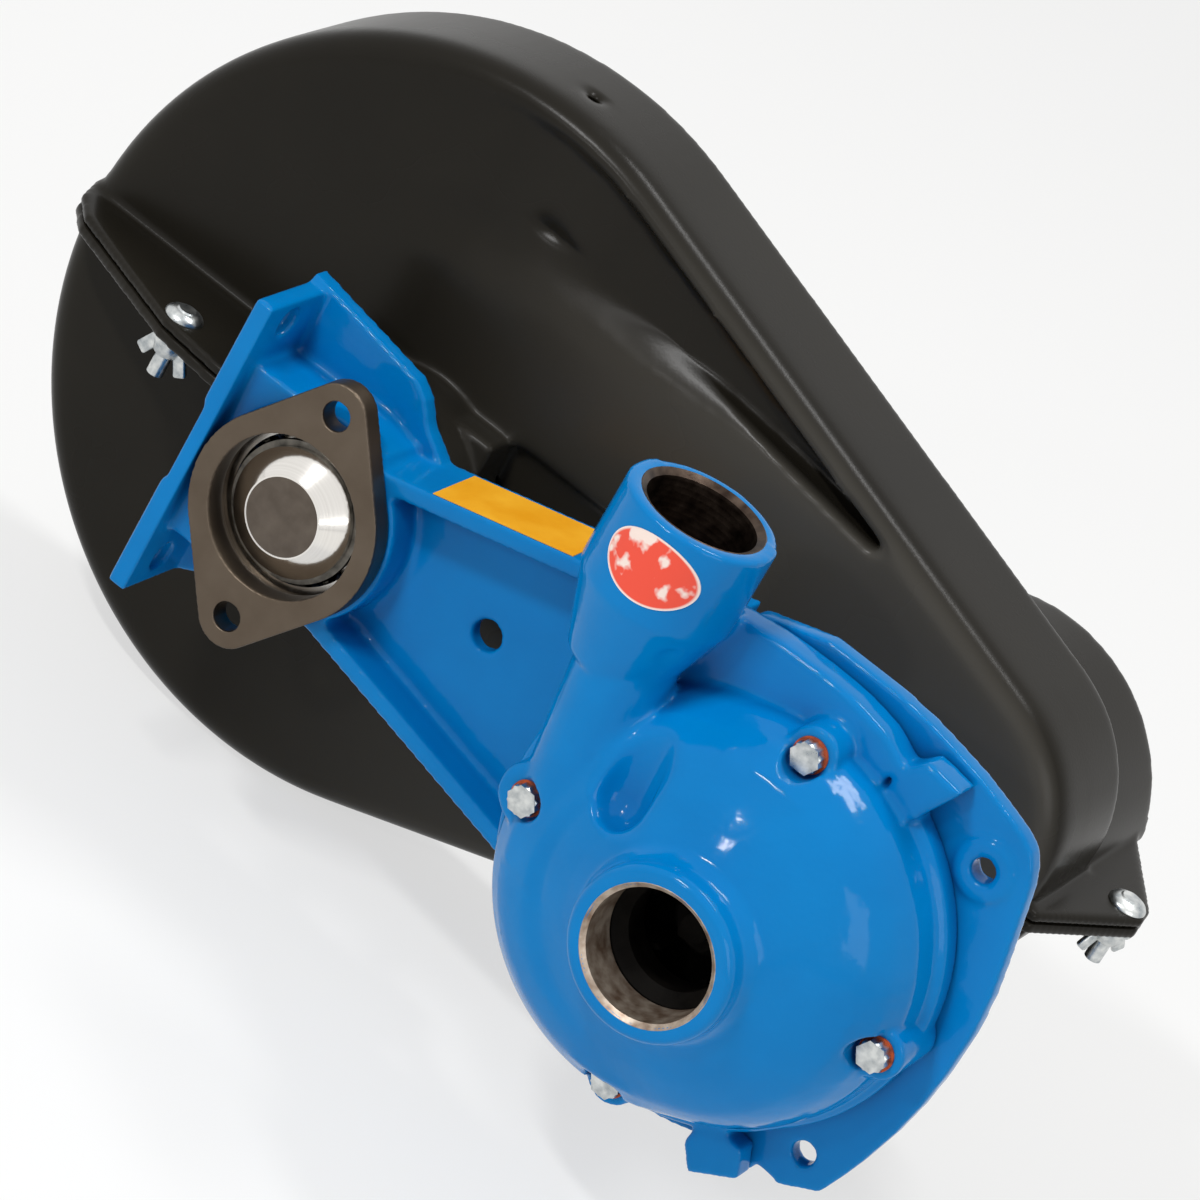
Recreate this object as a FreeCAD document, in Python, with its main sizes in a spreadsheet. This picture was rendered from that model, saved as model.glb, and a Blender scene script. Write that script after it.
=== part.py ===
import FreeCAD, Part
import math
import os

import Sketcher
from FreeCAD import Placement, Rotation, Vector

# Belt drive centrifugal pump for a tractor power take-off.
# The origin is the centre of the front bearing flange's face, on the drive axis.
# +X points from the drive axis to the pump axis, -Y to the front, +Z to the outlet.

SIZES = [
    # The two shafts
    ("shaft_distance", 211.0, "drive axis to pump axis"),
    ("drive_shaft_r", 17.45, "drive shaft at its bearings"),
    ("pump_shaft_r", 10.0, "pump shaft at its bearings"),
    ("running_gap", 0.05, "radial clearance of a running fit"),
    ("body_gap", 0.3, "clearance between bodies that only pass each other"),
    # Pump plate of the frame
    ("plate_front", -5.6, "front face of the pump plate"),
    ("plate_thick", 8.0, "pump plate thickness"),
    ("plate_r", 86.0, "round part of the pump plate"),
    ("plate_left", 4.0, "centre of that round part left of the pump axis"),
    ("plate_low", 3.0, "centre of that round part below the pump axis"),
    ("corner_hole_x", 62.6, "corner hole from the pump axis"),
    ("corner_hole_z", 62.8, "corner hole above and below the axis"),
    ("corner_hole_r", 4.5, "corner hole radius"),
    ("corner_boss_r", 11.0, "raised ring round the upper corner hole"),
    ("corner_boss_tall", 2.0, "height of that ring"),
    ("lug_x", 34.6, "lowest corner of the lug right of the pump axis"),
    ("lug_drop", 90.5, "that corner below the pump axis"),
    ("lug_wide", 15.9, "lug across, measured along X"),
    ("lug_rise", 9.9, "rise of its lower edge to the right"),
    # Arm
    ("arm_start", 18.0, "left end of the arm's flanges"),
    ("arm_end", 150.0, "right end, inside the pump plate"),
    ("arm_top_z", 32.2, "top of the upper flange at its left end"),
    ("arm_top_rise", 34.3, "rise of the upper flange to its right end"),
    ("arm_low_z", 32.2, "bottom of the lower flange at its left end"),
    ("arm_low_fall", 29.3, "fall of the lower flange to its right end"),
    ("lip_thick", 7.0, "thickness of both flanges"),
    ("lip_front", 9.3, "front edge of the flanges"),
    ("lip_back", 43.0, "rear edge of the flanges"),
    ("web_front", 25.0, "front face of the web"),
    ("web_thick", 7.0, "web thickness"),
    ("web_hole_x", 77.0, "round hole in the web"),
    ("web_hole_r", 5.75, "its radius"),
    # Drive housing and mounting plate
    ("barrel_r", 39.0, "drive bearing barrel"),
    ("barrel_front", 9.2, "front face of the barrel"),
    ("barrel_back", 80.0, "rear face of the barrel"),
    ("mount_face", -46.0, "outer face of the mounting plate"),
    ("mount_thick", 7.5, "mounting plate thickness"),
    ("mount_deep", 38.0, "mounting plate from front to back"),
    ("mount_top", 61.0, "top of the mounting plate"),
    ("mount_low", 62.0, "bottom of the mounting plate"),
    ("mount_hole_y", 18.0, "mounting holes behind the flange face"),
    ("mount_hole_z", 51.5, "mounting holes above and below the axis"),
    ("mount_hole_r", 5.5, "mounting hole radius"),
    ("relief_half", 17.0, "half height of the relief between the machined pads"),
    ("relief_deep", 1.5, "depth of that relief"),
    ("box_half", 36.0, "half height of the box between plate and barrel"),
    ("box_front", 9.2, "front face of the box"),
    ("back_front", 36.0, "front of the housing's back wall"),
    ("back_thick", 8.0, "thickness of the back wall"),
    # Pump bearing barrel
    ("pump_barrel_r", 33.0, "pump bearing barrel"),
    ("pump_barrel_back", 80.0, "rear face of the pump barrel"),
    ("pivot_boss_back", 80.7, "rear face of the tensioner pivot boss"),
    ("boss_r", 8.0, "guard screw boss"),
    ("guard_screw_r", 2.5, "guard screw radius"),
    ("guard_screw_deep", 12.0, "depth of a guard screw's hole"),
    ("boss_back", 76.2, "rear face of the guard screw bosses"),
    ("screw_a_x", 45.0, "first guard screw"),
    ("screw_a_z", -22.0, "its height"),
    ("screw_b_x", 128.0, "second guard screw"),
    ("screw_b_z", -30.0, "its height"),
    # Casing
    ("casing_flange_r", 77.3, "casing flange round the pump axis"),
    ("casing_flange_thick", 12.0, "casing flange thickness"),
    ("dome_r", 74.0, "dome radius at the flange"),
    ("swell_left", 8.5, "centre of the volute's swell left of the pump axis"),
    ("swell_low", 4.0, "centre of the swell below the pump axis"),
    ("swell_r", 76.0, "swell radius where it meets the flange"),
    ("swell_flange_r", 80.5, "casing flange round the swell's centre"),
    ("suction_face", -77.3, "mouth of the suction port"),
    ("suction_boss_r", 30.5, "suction boss radius"),
    ("suction_r", 23.3, "suction port bore"),
    ("suction_deep", 20.0, "length of the suction port's bore"),
    ("eye_r", 19.0, "passage behind the suction port"),
    ("chamber_gap", 4.0, "impeller chamber beyond the impeller's rim"),
    ("casing_bolt_ring", 70.9, "radius of the bolt circle"),
    ("casing_bolt_r", 3.0, "casing bolt radius"),
    ("casing_seat", -32.5, "seat of three casing bolts"),
    ("casing_seat_left", -44.5, "seat of the left casing bolt"),
    ("casing_boss_r", 9.5, "boss round a casing bolt"),
    ("casing_boss_left_r", 12.0, "boss of the left casing bolt"),
    ("head_flats", 10.0, "hex head of a casing bolt, across flats"),
    ("head_tall", 4.2, "height of that head"),
    ("casing_washer_r", 6.4, "washer under a casing bolt"),
    ("casing_washer_thick", 0.8, "its thickness"),
    ("outlet_x", 72.4, "outlet axis left of the pump axis"),
    ("outlet_y", -33.2, "outlet axis in front of the flange face"),
    ("outlet_top", 117.6, "mouth of the outlet"),
    ("outlet_boss_r", 27.5, "outlet boss radius"),
    ("outlet_boss_low", 84.0, "bottom of the outlet boss"),
    ("outlet_r", 20.5, "outlet port bore"),
    ("outlet_deep", 24.0, "length of the outlet port's bore"),
    ("neck_r", 17.5, "outside of the neck under the outlet"),
    ("neck_bore_r", 13.0, "bore of that neck"),
    ("shoulder_tall", 30.0, "cone between the neck and the outlet boss"),
    ("neck_foot_x", 62.0, "foot of the neck left of the pump axis"),
    ("neck_foot_z", 6.0, "foot of the neck above the pump axis"),
    ("groove_r", 10.0, "groove between the neck and the dome"),
    ("groove_right", 24.0, "groove right of the neck"),
    ("groove_y", -53.5, "groove in front of the flange face"),
    # Impeller and seal
    ("impeller_r", 57.0, "impeller radius"),
    ("impeller_hub_r", 13.0, "impeller hub radius"),
    ("vane_count", 6, "impeller vanes"),
    ("seal_bore_r", 18.0, "seal bore in the pump plate"),
    ("seal_seat_thick", 6.0, "stationary seal ring"),
    ("seal_neck_r", 9.5, "pump shaft under the seal"),
    ("nut_neck_r", 6.0, "pump shaft under the impeller nut"),
    # Bearings
    ("pump_bearing_out_r", 23.5, "pump bearing outer radius"),
    ("pump_bearing_wide", 14.0, "pump bearing width"),
    ("pump_bearing_front", 20.0, "front pump bearing"),
    ("pump_bearing_back", 58.0, "rear pump bearing"),
    ("drive_bearing_out_r", 31.0, "drive bearing outer radius"),
    ("drive_bearing_wide", 14.0, "drive bearing width"),
    ("drive_bearing_front", 13.0, "front drive bearing"),
    ("drive_bearing_back", 60.0, "rear drive bearing"),
    ("snap_thick", 1.6, "snap ring thickness"),
    # Front bearing flange
    ("flange_thick", 9.0, "flange plate thickness"),
    ("flange_r", 37.5, "flange centre circle"),
    ("flange_hole_z", 43.85, "flange holes above and below the axis"),
    ("flange_hole_r", 5.3, "flange hole radius"),
    ("flange_lobe_r", 11.6, "flange lobe radius"),
    ("flange_open_r", 29.3, "flange opening radius"),
    ("flange_spigot_r", 35.0, "spigot behind the flange"),
    ("flange_spigot_back", 27.2, "rear end of the spigot"),
    # Drive shaft
    ("cone_tip_r", 14.5, "flat at the tip of the cone"),
    ("cone_r", 23.3, "cone at its base"),
    ("cone_tip", 0.7, "tip of the cone"),
    ("cone_base", 7.3, "base of the cone"),
    ("slinger_r", 25.5, "ring behind the cone"),
    ("socket_r", 26.0, "spline socket outside radius"),
    ("socket_front", 131.0, "front of the spline socket"),
    ("socket_back", 190.0, "mouth of the spline socket"),
    ("spline_r", 17.6, "socket bore over the splines"),
    ("spline_inner_r", 14.9, "socket bore between the splines"),
    ("spline_deep", 50.0, "depth of the socket"),
    ("spline_lead", 12.0, "plain length at the mouth of the socket"),
    ("spline_lead_r", 18.5, "bore of that plain length"),
    ("spline_count", 6, "splines"),
    ("spline_wide", 8.6, "width of one spline"),
    # Belt drive
    ("drive_pulley_r", 112.0, "drive pulley radius"),
    ("pump_pulley_r", 23.0, "pump pulley radius"),
    ("pulley_front", 92.0, "front face of both pulleys"),
    ("pulley_wide", 30.0, "width of both pulleys"),
    ("rim_thick", 6.0, "rim of the drive pulley"),
    ("rib_pitch", 3.56, "pitch of the belt ribs"),
    ("rib_deep", 2.4, "depth of the grooves"),
    ("belt_front", 94.0, "front edge of the belt"),
    ("belt_wide", 26.0, "belt width"),
    ("belt_thick", 4.3, "belt thickness"),
    ("drive_hub_r", 30.0, "drive pulley hub"),
    ("drive_hub_front", 83.0, "front end of the drive pulley hub"),
    ("pump_hub_r", 17.0, "pump pulley hub"),
    ("pump_hub_back", 146.0, "rear end of the pump pulley hub"),
    ("pump_end_r", 9.0, "pump shaft in its pulley"),
    ("pump_shaft_back", 149.0, "rear end of the pump shaft"),
    ("drive_key_wide", 10.0, "drive key width"),
    ("pump_key_wide", 5.0, "pump key width"),
    # Tensioner
    ("pivot_inset", 28.0, "tensioner pivot inside the drive pulley's rim"),
    ("pivot_z", -34.0, "its height"),
    ("pivot_boss_r", 9.0, "tensioner pivot boss"),
    ("idler_x", 140.0, "idler axis at rest"),
    ("idler_z", -66.0, "its height"),
    ("idler_r", 11.0, "idler radius"),
    ("idler_wide", 28.0, "idler width"),
    ("idler_bolt_r", 4.0, "idler bolt radius"),
    ("pivot_bolt_r", 5.0, "pivot bolt radius"),
    ("arm_plate_front", 86.2, "front face of the tensioner arm"),
    ("arm_plate_thick", 4.6, "tensioner arm thickness"),
    # Guard
    ("guard_x", -10.9, "centre of the guard's large end"),
    ("guard_z", 8.5, "its height"),
    ("guard_r", 143.1, "guard radius at the large end"),
    ("guard_end_x", 219.2, "centre of the small end's upper corner"),
    ("guard_end_z", 24.9, "its height"),
    ("guard_end_r", 55.9, "its radius"),
    ("guard_low_x", 205.0, "centre of the small end's lower corner"),
    ("guard_low_r", 62.0, "its radius"),
    ("guard_front", 76.5, "front face of the guard"),
    ("guard_back", 132.0, "rear face of the guard"),
    ("guard_wall", 4.0, "guard wall"),
    ("guard_round", 11.0, "rounding of the guard's front edge"),
    ("bulge_r", 65.7, "cup at the small end, upper half"),
    ("bulge_low_r", 61.0, "cup at the small end, lower half"),
    ("bulge_back", 186.0, "rear face of that cup"),
    ("split_z", 12.0, "height of the split between the halves"),
    ("split_gap", 0.6, "gap between the halves"),
    ("ledge_thick", 4.0, "thickness of the split flanges"),
    ("rear_hole_r", 48.0, "hole for the spline socket"),
    ("valley_rim", 9.0, "rim in front of the sloping valley"),
    ("plateau_r", 107.0, "round part of the raised plateau"),
    ("plateau_left", 109.0, "plateau height above the drive axis"),
    ("plateau_right", 86.0, "plateau height near the pump"),
    ("plateau_end", 186.0, "right end of the plateau's edge"),
    ("valley_slope", 0.066, "valley depth gained along X"),
    ("valley_start", -70.0, "left end of the valley"),
    ("collar_right", 33.0, "right side of the raised collar"),
    ("collar_top", 38.7, "top of the raised collar"),
    ("collar_low", 30.0, "bottom of the raised collar"),
    ("collar_left", -42.0, "left side of the raised collar"),
    ("collar_tall", 14.0, "collar in front of the guard's face"),
    ("recess_right", 130.0, "right end of the recess beside the collar"),
    ("recess_low", -12.0, "bottom of that recess"),
    ("recess_deep", 5.0, "its depth"),
    ("sleeve_r", 41.7, "sleeve of the guard round the drive barrel"),
    ("sleeve_front", 47.0, "front edge of that sleeve"),
    ("guard_bolt_r", 3.17, "carriage bolt radius"),
    ("guard_head_r", 7.3, "carriage bolt head radius"),
    ("guard_head_tall", 3.4, "its height"),
    ("left_bolt_in", 71.0, "left carriage bolt from the guard's left end"),
    ("left_bolt_y", 41.0, "its distance behind the flange face"),
    ("right_bolt_x", 293.5, "right carriage bolt"),
    ("right_bolt_y", 131.0, "its distance behind the flange face"),
    ("wing_long", 9.5, "length of a nut's wing"),
    ("wing_wide", 5.0, "its width"),
    ("wing_thick", 2.6, "its thickness"),
    # Labels
    ("label_thick", 0.3, "thickness of both labels"),
    ("label_left", 40.0, "left end of the amber label"),
    ("label_long", 56.0, "its length"),
    ("label_wide", 29.0, "its width"),
    ("sticker_half_wide", 17.0, "half width of the oval sticker"),
    ("sticker_half_tall", 12.0, "its half height"),
    ("sticker_z", 101.5, "height of its centre"),
    ("sticker_right", 2.0, "its centre right of the outlet axis"),
]

doc = FreeCAD.newDocument("belt_drive_pump")
sheet = doc.addObject("Spreadsheet::Sheet", "dims")
for row, (alias, value, note) in enumerate(SIZES, start=1):
    sheet.set(f"A{row}", note)
    sheet.set(f"B{row}", str(value))
    sheet.setAlias(f"B{row}", alias)
doc.recompute()

ALONG = {
    "X": Rotation(Vector(0, 1, 0), 90),
    "Y": Rotation(Vector(1, 0, 0), -90),
    "Z": Rotation(),
}


class Size:
    """A length with its value and the sheet expression that gives it."""

    def __init__(self, text, value):
        self.text = text
        self.value = value

    def __add__(self, other):
        other = as_size(other)
        return Size(f"({self.text} + {other.text})", self.value + other.value)

    def __sub__(self, other):
        other = as_size(other)
        return Size(f"({self.text} - {other.text})", self.value - other.value)

    def __mul__(self, other):
        other = as_size(other)
        return Size(f"({self.text} * {other.text})", self.value * other.value)

    def __truediv__(self, other):
        other = as_size(other)
        return Size(f"({self.text} / {other.text})", self.value / other.value)

    def __neg__(self):
        return Size(f"(0 - {self.text})", -self.value)

    def __radd__(self, other):
        return as_size(other) + self

    def __rsub__(self, other):
        return as_size(other) - self

    def __rmul__(self, other):
        return as_size(other) * self

    def __float__(self):
        return float(self.value)


def as_size(value):
    if isinstance(value, Size):
        return value
    return Size(f"({float(value)})", float(value))


class Sheet:
    """Gives each sheet cell by its alias."""

    def __getattr__(self, alias):
        return Size(f"dims.{alias}", float(sheet.get(alias)))


d = Sheet()
nodes = []


def node(label, thing):
    """Registers a finished sub-part under its file name."""
    thing.Label = label
    nodes.append(thing)
    return thing


def bind(thing, prop, size):
    thing.setExpression(prop, as_size(size).text)


def place(thing, x=0, y=0, z=0, turn=Rotation()):
    """Puts an object at bound coordinates, turned about its own origin."""
    thing.Placement = Placement(Vector(float(x), float(y), float(z)), turn)
    for axis, size in (("x", x), ("y", y), ("z", z)):
        if isinstance(size, Size):
            bind(thing, f"Placement.Base.{axis}", size)
    return thing


def rod(r, length, x=0, y=0, z=0, along="Y"):
    """A cylinder that starts at a point and runs along one axis."""
    thing = doc.addObject("Part::Cylinder", "rod")
    bind(thing, "Radius", r)
    bind(thing, "Height", length)
    return place(thing, x, y, z, ALONG[along])


def cone(r_start, r_end, length, x=0, y=0, z=0, along="Y"):
    thing = doc.addObject("Part::Cone", "cone")
    bind(thing, "Radius1", r_start)
    bind(thing, "Radius2", r_end)
    bind(thing, "Height", length)
    return place(thing, x, y, z, ALONG[along])


def block(x, y, z, long, deep, tall):
    thing = doc.addObject("Part::Box", "block")
    bind(thing, "Length", long)
    bind(thing, "Width", deep)
    bind(thing, "Height", tall)
    return place(thing, x, y, z)


def hexagon(flats, tall, x=0, y=0, z=0, along="Y"):
    """A hexagonal prism, given by its size across flats."""
    thing = doc.addObject("Part::Prism", "hexagon")
    thing.Polygon = 6
    bind(thing, "Circumradius", as_size(flats) / math.sqrt(3))
    bind(thing, "Height", tall)
    return place(thing, x, y, z, ALONG[along])


def join(*things):
    thing = doc.addObject("Part::MultiFuse", "join")
    thing.Shapes = list(things)
    return thing


def cut(base, *tools):
    thing = doc.addObject("Part::Cut", "cut")
    thing.Base = base
    thing.Tool = tools[0] if len(tools) == 1 else join(*tools)
    return thing


def group(*things):
    """Separate solids that share one node."""
    thing = doc.addObject("Part::Compound", "group")
    thing.Links = list(things)
    return thing


def outline(body, plane, points):
    """A closed sketch on one of the body's planes, each corner bound to the sheet."""
    support = [f for f in body.Origin.OriginFeatures if f.Role == plane][0]
    sketch = body.newObject("Sketcher::SketchObject", "outline")
    sketch.AttachmentSupport = [(support, "")]
    sketch.MapMode = "FlatFace"
    spots = [Vector(float(u), float(v), 0) for u, v in points]
    for start, end in zip(spots, spots[1:] + spots[:1]):
        sketch.addGeometry(Part.LineSegment(start, end))
    for i in range(len(spots)):
        after = (i + 1) % len(spots)
        sketch.addConstraint(Sketcher.Constraint("Coincident", i, 2, after, 1))
    for i, (u, v) in enumerate(points):
        for kind, size, low in (("DistanceX", u, spots[i].x), ("DistanceY", v, spots[i].y)):
            index = sketch.addConstraint(Sketcher.Constraint(kind, -1, 1, i, 1, low))
            bind(sketch, f"Constraints[{index}]", size)
    return sketch


def turned(points, x=0):
    """A body turned about an axis along Y. Points are (radius, distance along Y)."""
    body = doc.addObject("PartDesign::Body", "turned")
    sketch = outline(body, "XY_Plane", points)
    turn = body.newObject("PartDesign::Revolution", "turn")
    turn.Profile = sketch
    turn.ReferenceAxis = (sketch, ["V_Axis"])
    turn.Angle = 360
    return place(body, x)


def slab(points, start, thick, x=0):
    """A body padded along Y from a front-view outline of (X, Z) points."""
    body = doc.addObject("PartDesign::Body", "slab")
    sketch = outline(body, "XZ_Plane", points)
    pad = body.newObject("PartDesign::Pad", "pad")
    pad.Profile = sketch
    bind(pad, "Length", thick)
    return place(body, x, start + thick)


def shaped(label, shape):
    """A sub-part whose shape comes from Part's own functions."""
    thing = doc.addObject("Part::Feature", label)
    thing.Shape = shape
    return thing


def around(angle, radius, x):
    """The bound X and Z of a point on a circle about an axis along Y."""
    return x + radius * math.cos(math.radians(angle)), radius * math.sin(math.radians(angle))


pump_x = d.shaft_distance
plate_back = d.plate_front + d.plate_thick
chamber_r = d.impeller_r + d.chamber_gap
pivot_x = d.drive_pulley_r - d.pivot_inset
left_bolt_x = d.guard_x - d.guard_r + d.left_bolt_in
CUT_EXTRA = 5.0
WELD = 0.5


def lug_corners():
    """Corners of the lug under the pump, in the front view about the pump axis."""
    right = d.lug_x + d.lug_wide
    return [
        (d.lug_x - 6.7, 8.9 - d.lug_drop),
        (d.lug_x, -d.lug_drop),
        (right, d.lug_rise - d.lug_drop),
        (right - 4, d.lug_rise + 10 - d.lug_drop),
        (d.lug_x - 4, 22 - d.lug_drop),
    ]


# Frame casting: pump plate, arm, drive housing, mounting plate and both barrels in one piece.
def frame_casting():
    disc = rod(
        d.plate_r,
        d.plate_thick,
        pump_x - d.plate_left,
        d.plate_front,
        0 - d.plate_low,
    )
    corner = slab(
        [
            (-58, 60),
            (-46.8, 86),
            (-21, 94),
            (-8, 94),
            (6, 94),
            (20.5, 92.8),
            (32.5, 90.7),
            (46, 88),
            (d.corner_hole_x - 2, d.corner_hole_z + 20.8),
            (d.corner_hole_x + 5.4, d.corner_hole_z + 18.2),
            (d.corner_hole_x + 10.2, d.corner_hole_z + 15.2),
            (d.corner_hole_x + 13.4, d.corner_hole_z + 10.5),
            (d.corner_hole_x + 16.2, d.corner_hole_z + 3.7),
            (80.9, 57),
            (84.4, 41.3),
            (87.3, 27),
            (89, 11.5),
            (88.7, -6),
            (87.4, -21),
            (84.9, -35.5),
            (80.8, -51.5),
            (d.corner_hole_x + 15.4, 2.5 - d.corner_hole_z),
            (d.corner_hole_x + 11.5, -d.corner_hole_z - 8),
            (d.corner_hole_x - 1.5, -d.corner_hole_z - 15.5),
            (46, -77),
            (0, 6 - d.plate_r),
        ],
        d.plate_front,
        d.plate_thick,
        pump_x,
    )
    ring = rod(
        d.corner_boss_r,
        d.corner_boss_tall + WELD,
        pump_x + d.corner_hole_x,
        d.plate_front - d.corner_boss_tall,
        d.corner_hole_z,
    )
    plate = join(disc, corner, slab(lug_corners(), d.plate_front, d.plate_thick, pump_x), ring)
    top_end = d.arm_top_z + d.arm_top_rise
    low_end = d.arm_low_z + d.arm_low_fall
    flanges = [
        slab(
            [
                (d.arm_start, d.arm_top_z - d.lip_thick),
                (d.arm_end, top_end - d.lip_thick),
                (d.arm_end, top_end),
                (d.arm_start, d.arm_top_z),
            ],
            d.lip_front,
            d.lip_back - d.lip_front,
        ),
        slab(
            [
                (d.arm_start, -d.arm_low_z),
                (d.arm_end, -low_end),
                (d.arm_end, d.lip_thick - low_end),
                (d.arm_start, d.lip_thick - d.arm_low_z),
            ],
            d.lip_front,
            d.lip_back - d.lip_front,
        ),
    ]
    web = slab(
        [
            (d.arm_start, -d.arm_low_z + 1),
            (d.arm_end, 1 - low_end),
            (d.arm_end, top_end - 1),
            (d.arm_start, d.arm_top_z - 1),
        ],
        d.web_front,
        d.web_thick,
    )
    end_wall = block(
        d.arm_end - d.lip_thick,
        plate_back - WELD,
        5 - low_end,
        d.lip_thick,
        d.lip_back - plate_back + WELD,
        low_end + top_end - 10,
    )
    tail = block(
        d.arm_end - 1,
        d.web_front,
        -30,
        pump_x - d.arm_end,
        d.web_thick,
        60,
    )
    plate_side = d.mount_face + d.mount_thick
    housing = join(
        rod(d.barrel_r, d.barrel_back - d.barrel_front, 0, d.barrel_front),
        block(
            d.mount_face,
            0,
            -d.mount_low,
            d.mount_thick,
            d.mount_deep,
            d.mount_low + d.mount_top,
        ),
        block(
            plate_side - WELD,
            d.box_front,
            -d.box_half,
            d.arm_start - plate_side + WELD,
            d.back_front + d.back_thick - d.box_front,
            d.box_half * 2,
        ),
        slab(
            [
                (d.mount_face, -d.mount_low),
                (plate_side, -d.mount_low),
                (plate_side + 12, -56),
                (10, -42),
                (d.arm_start + 10, -34),
                (d.arm_start + 10, 36),
                (d.arm_start, 43),
                (12, 51),
                (6, 55),
                (d.mount_face, d.mount_top + 3),
            ],
            d.back_front,
            d.back_thick,
        ),
    )
    pivot_boss = rod(
        d.pivot_boss_r,
        d.pivot_boss_back - d.web_front,
        pivot_x,
        d.web_front,
        d.pivot_z,
    )
    bosses = [
        rod(d.boss_r, d.boss_back - d.web_front, x, d.web_front, z)
        for x, z in ((d.screw_a_x, d.screw_a_z), (d.screw_b_x, d.screw_b_z))
    ]
    pump_barrel = rod(
        d.pump_barrel_r,
        d.pump_barrel_back - plate_back + WELD,
        pump_x,
        plate_back - WELD,
    )
    solid = join(plate, *flanges, web, end_wall, tail, housing, pivot_boss, *bosses, pump_barrel)
    bores = [
        rod(
            d.flange_spigot_r,
            d.flange_spigot_back - d.barrel_front + CUT_EXTRA,
            0,
            d.barrel_front - CUT_EXTRA,
        ),
        rod(d.drive_shaft_r + 2, d.barrel_back, 0, d.barrel_front),
        rod(d.drive_bearing_out_r, 40, 0, d.drive_bearing_back),
        rod(d.seal_neck_r + 1.5, d.pump_barrel_back, pump_x, d.plate_front - 1),
        rod(d.seal_bore_r, d.seal_seat_thick + 2, pump_x, d.plate_front - 2),
        rod(
            d.pump_bearing_out_r,
            d.pump_barrel_back,
            pump_x,
            d.pump_bearing_front,
        ),
        rod(d.web_hole_r, 30, d.web_hole_x, d.web_front - CUT_EXTRA),
        rod(d.pivot_bolt_r, 24, pivot_x, 60, d.pivot_z),
        rod(
            d.guard_screw_r,
            d.guard_screw_deep + CUT_EXTRA,
            d.screw_a_x,
            d.boss_back - d.guard_screw_deep,
            d.screw_a_z,
        ),
        rod(
            d.guard_screw_r,
            d.guard_screw_deep + CUT_EXTRA,
            d.screw_b_x,
            d.boss_back - d.guard_screw_deep,
            d.screw_b_z,
        ),
        block(
            d.mount_face - 1,
            -1,
            -d.relief_half,
            d.relief_deep + 1,
            d.mount_deep + d.back_thick + 2,
            d.relief_half * 2,
        ),
    ]
    for z in (d.mount_hole_z, -d.mount_hole_z):
        bores.append(
            rod(d.mount_hole_r, d.mount_thick + 2, d.mount_face - 1, d.mount_hole_y, z, "X")
        )
    for z in (d.corner_hole_z, -d.corner_hole_z):
        bores.append(rod(d.corner_hole_r, 40, pump_x + d.corner_hole_x, d.plate_front - 10, z))
    for angle in (0, 90, 180, 270):
        x, z = around(angle, d.casing_bolt_ring, pump_x)
        bores.append(rod(d.casing_bolt_r, d.plate_thick + 2, x, d.plate_front - 1, z))
    node("frame_casting", cut(solid, *bores))


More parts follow.
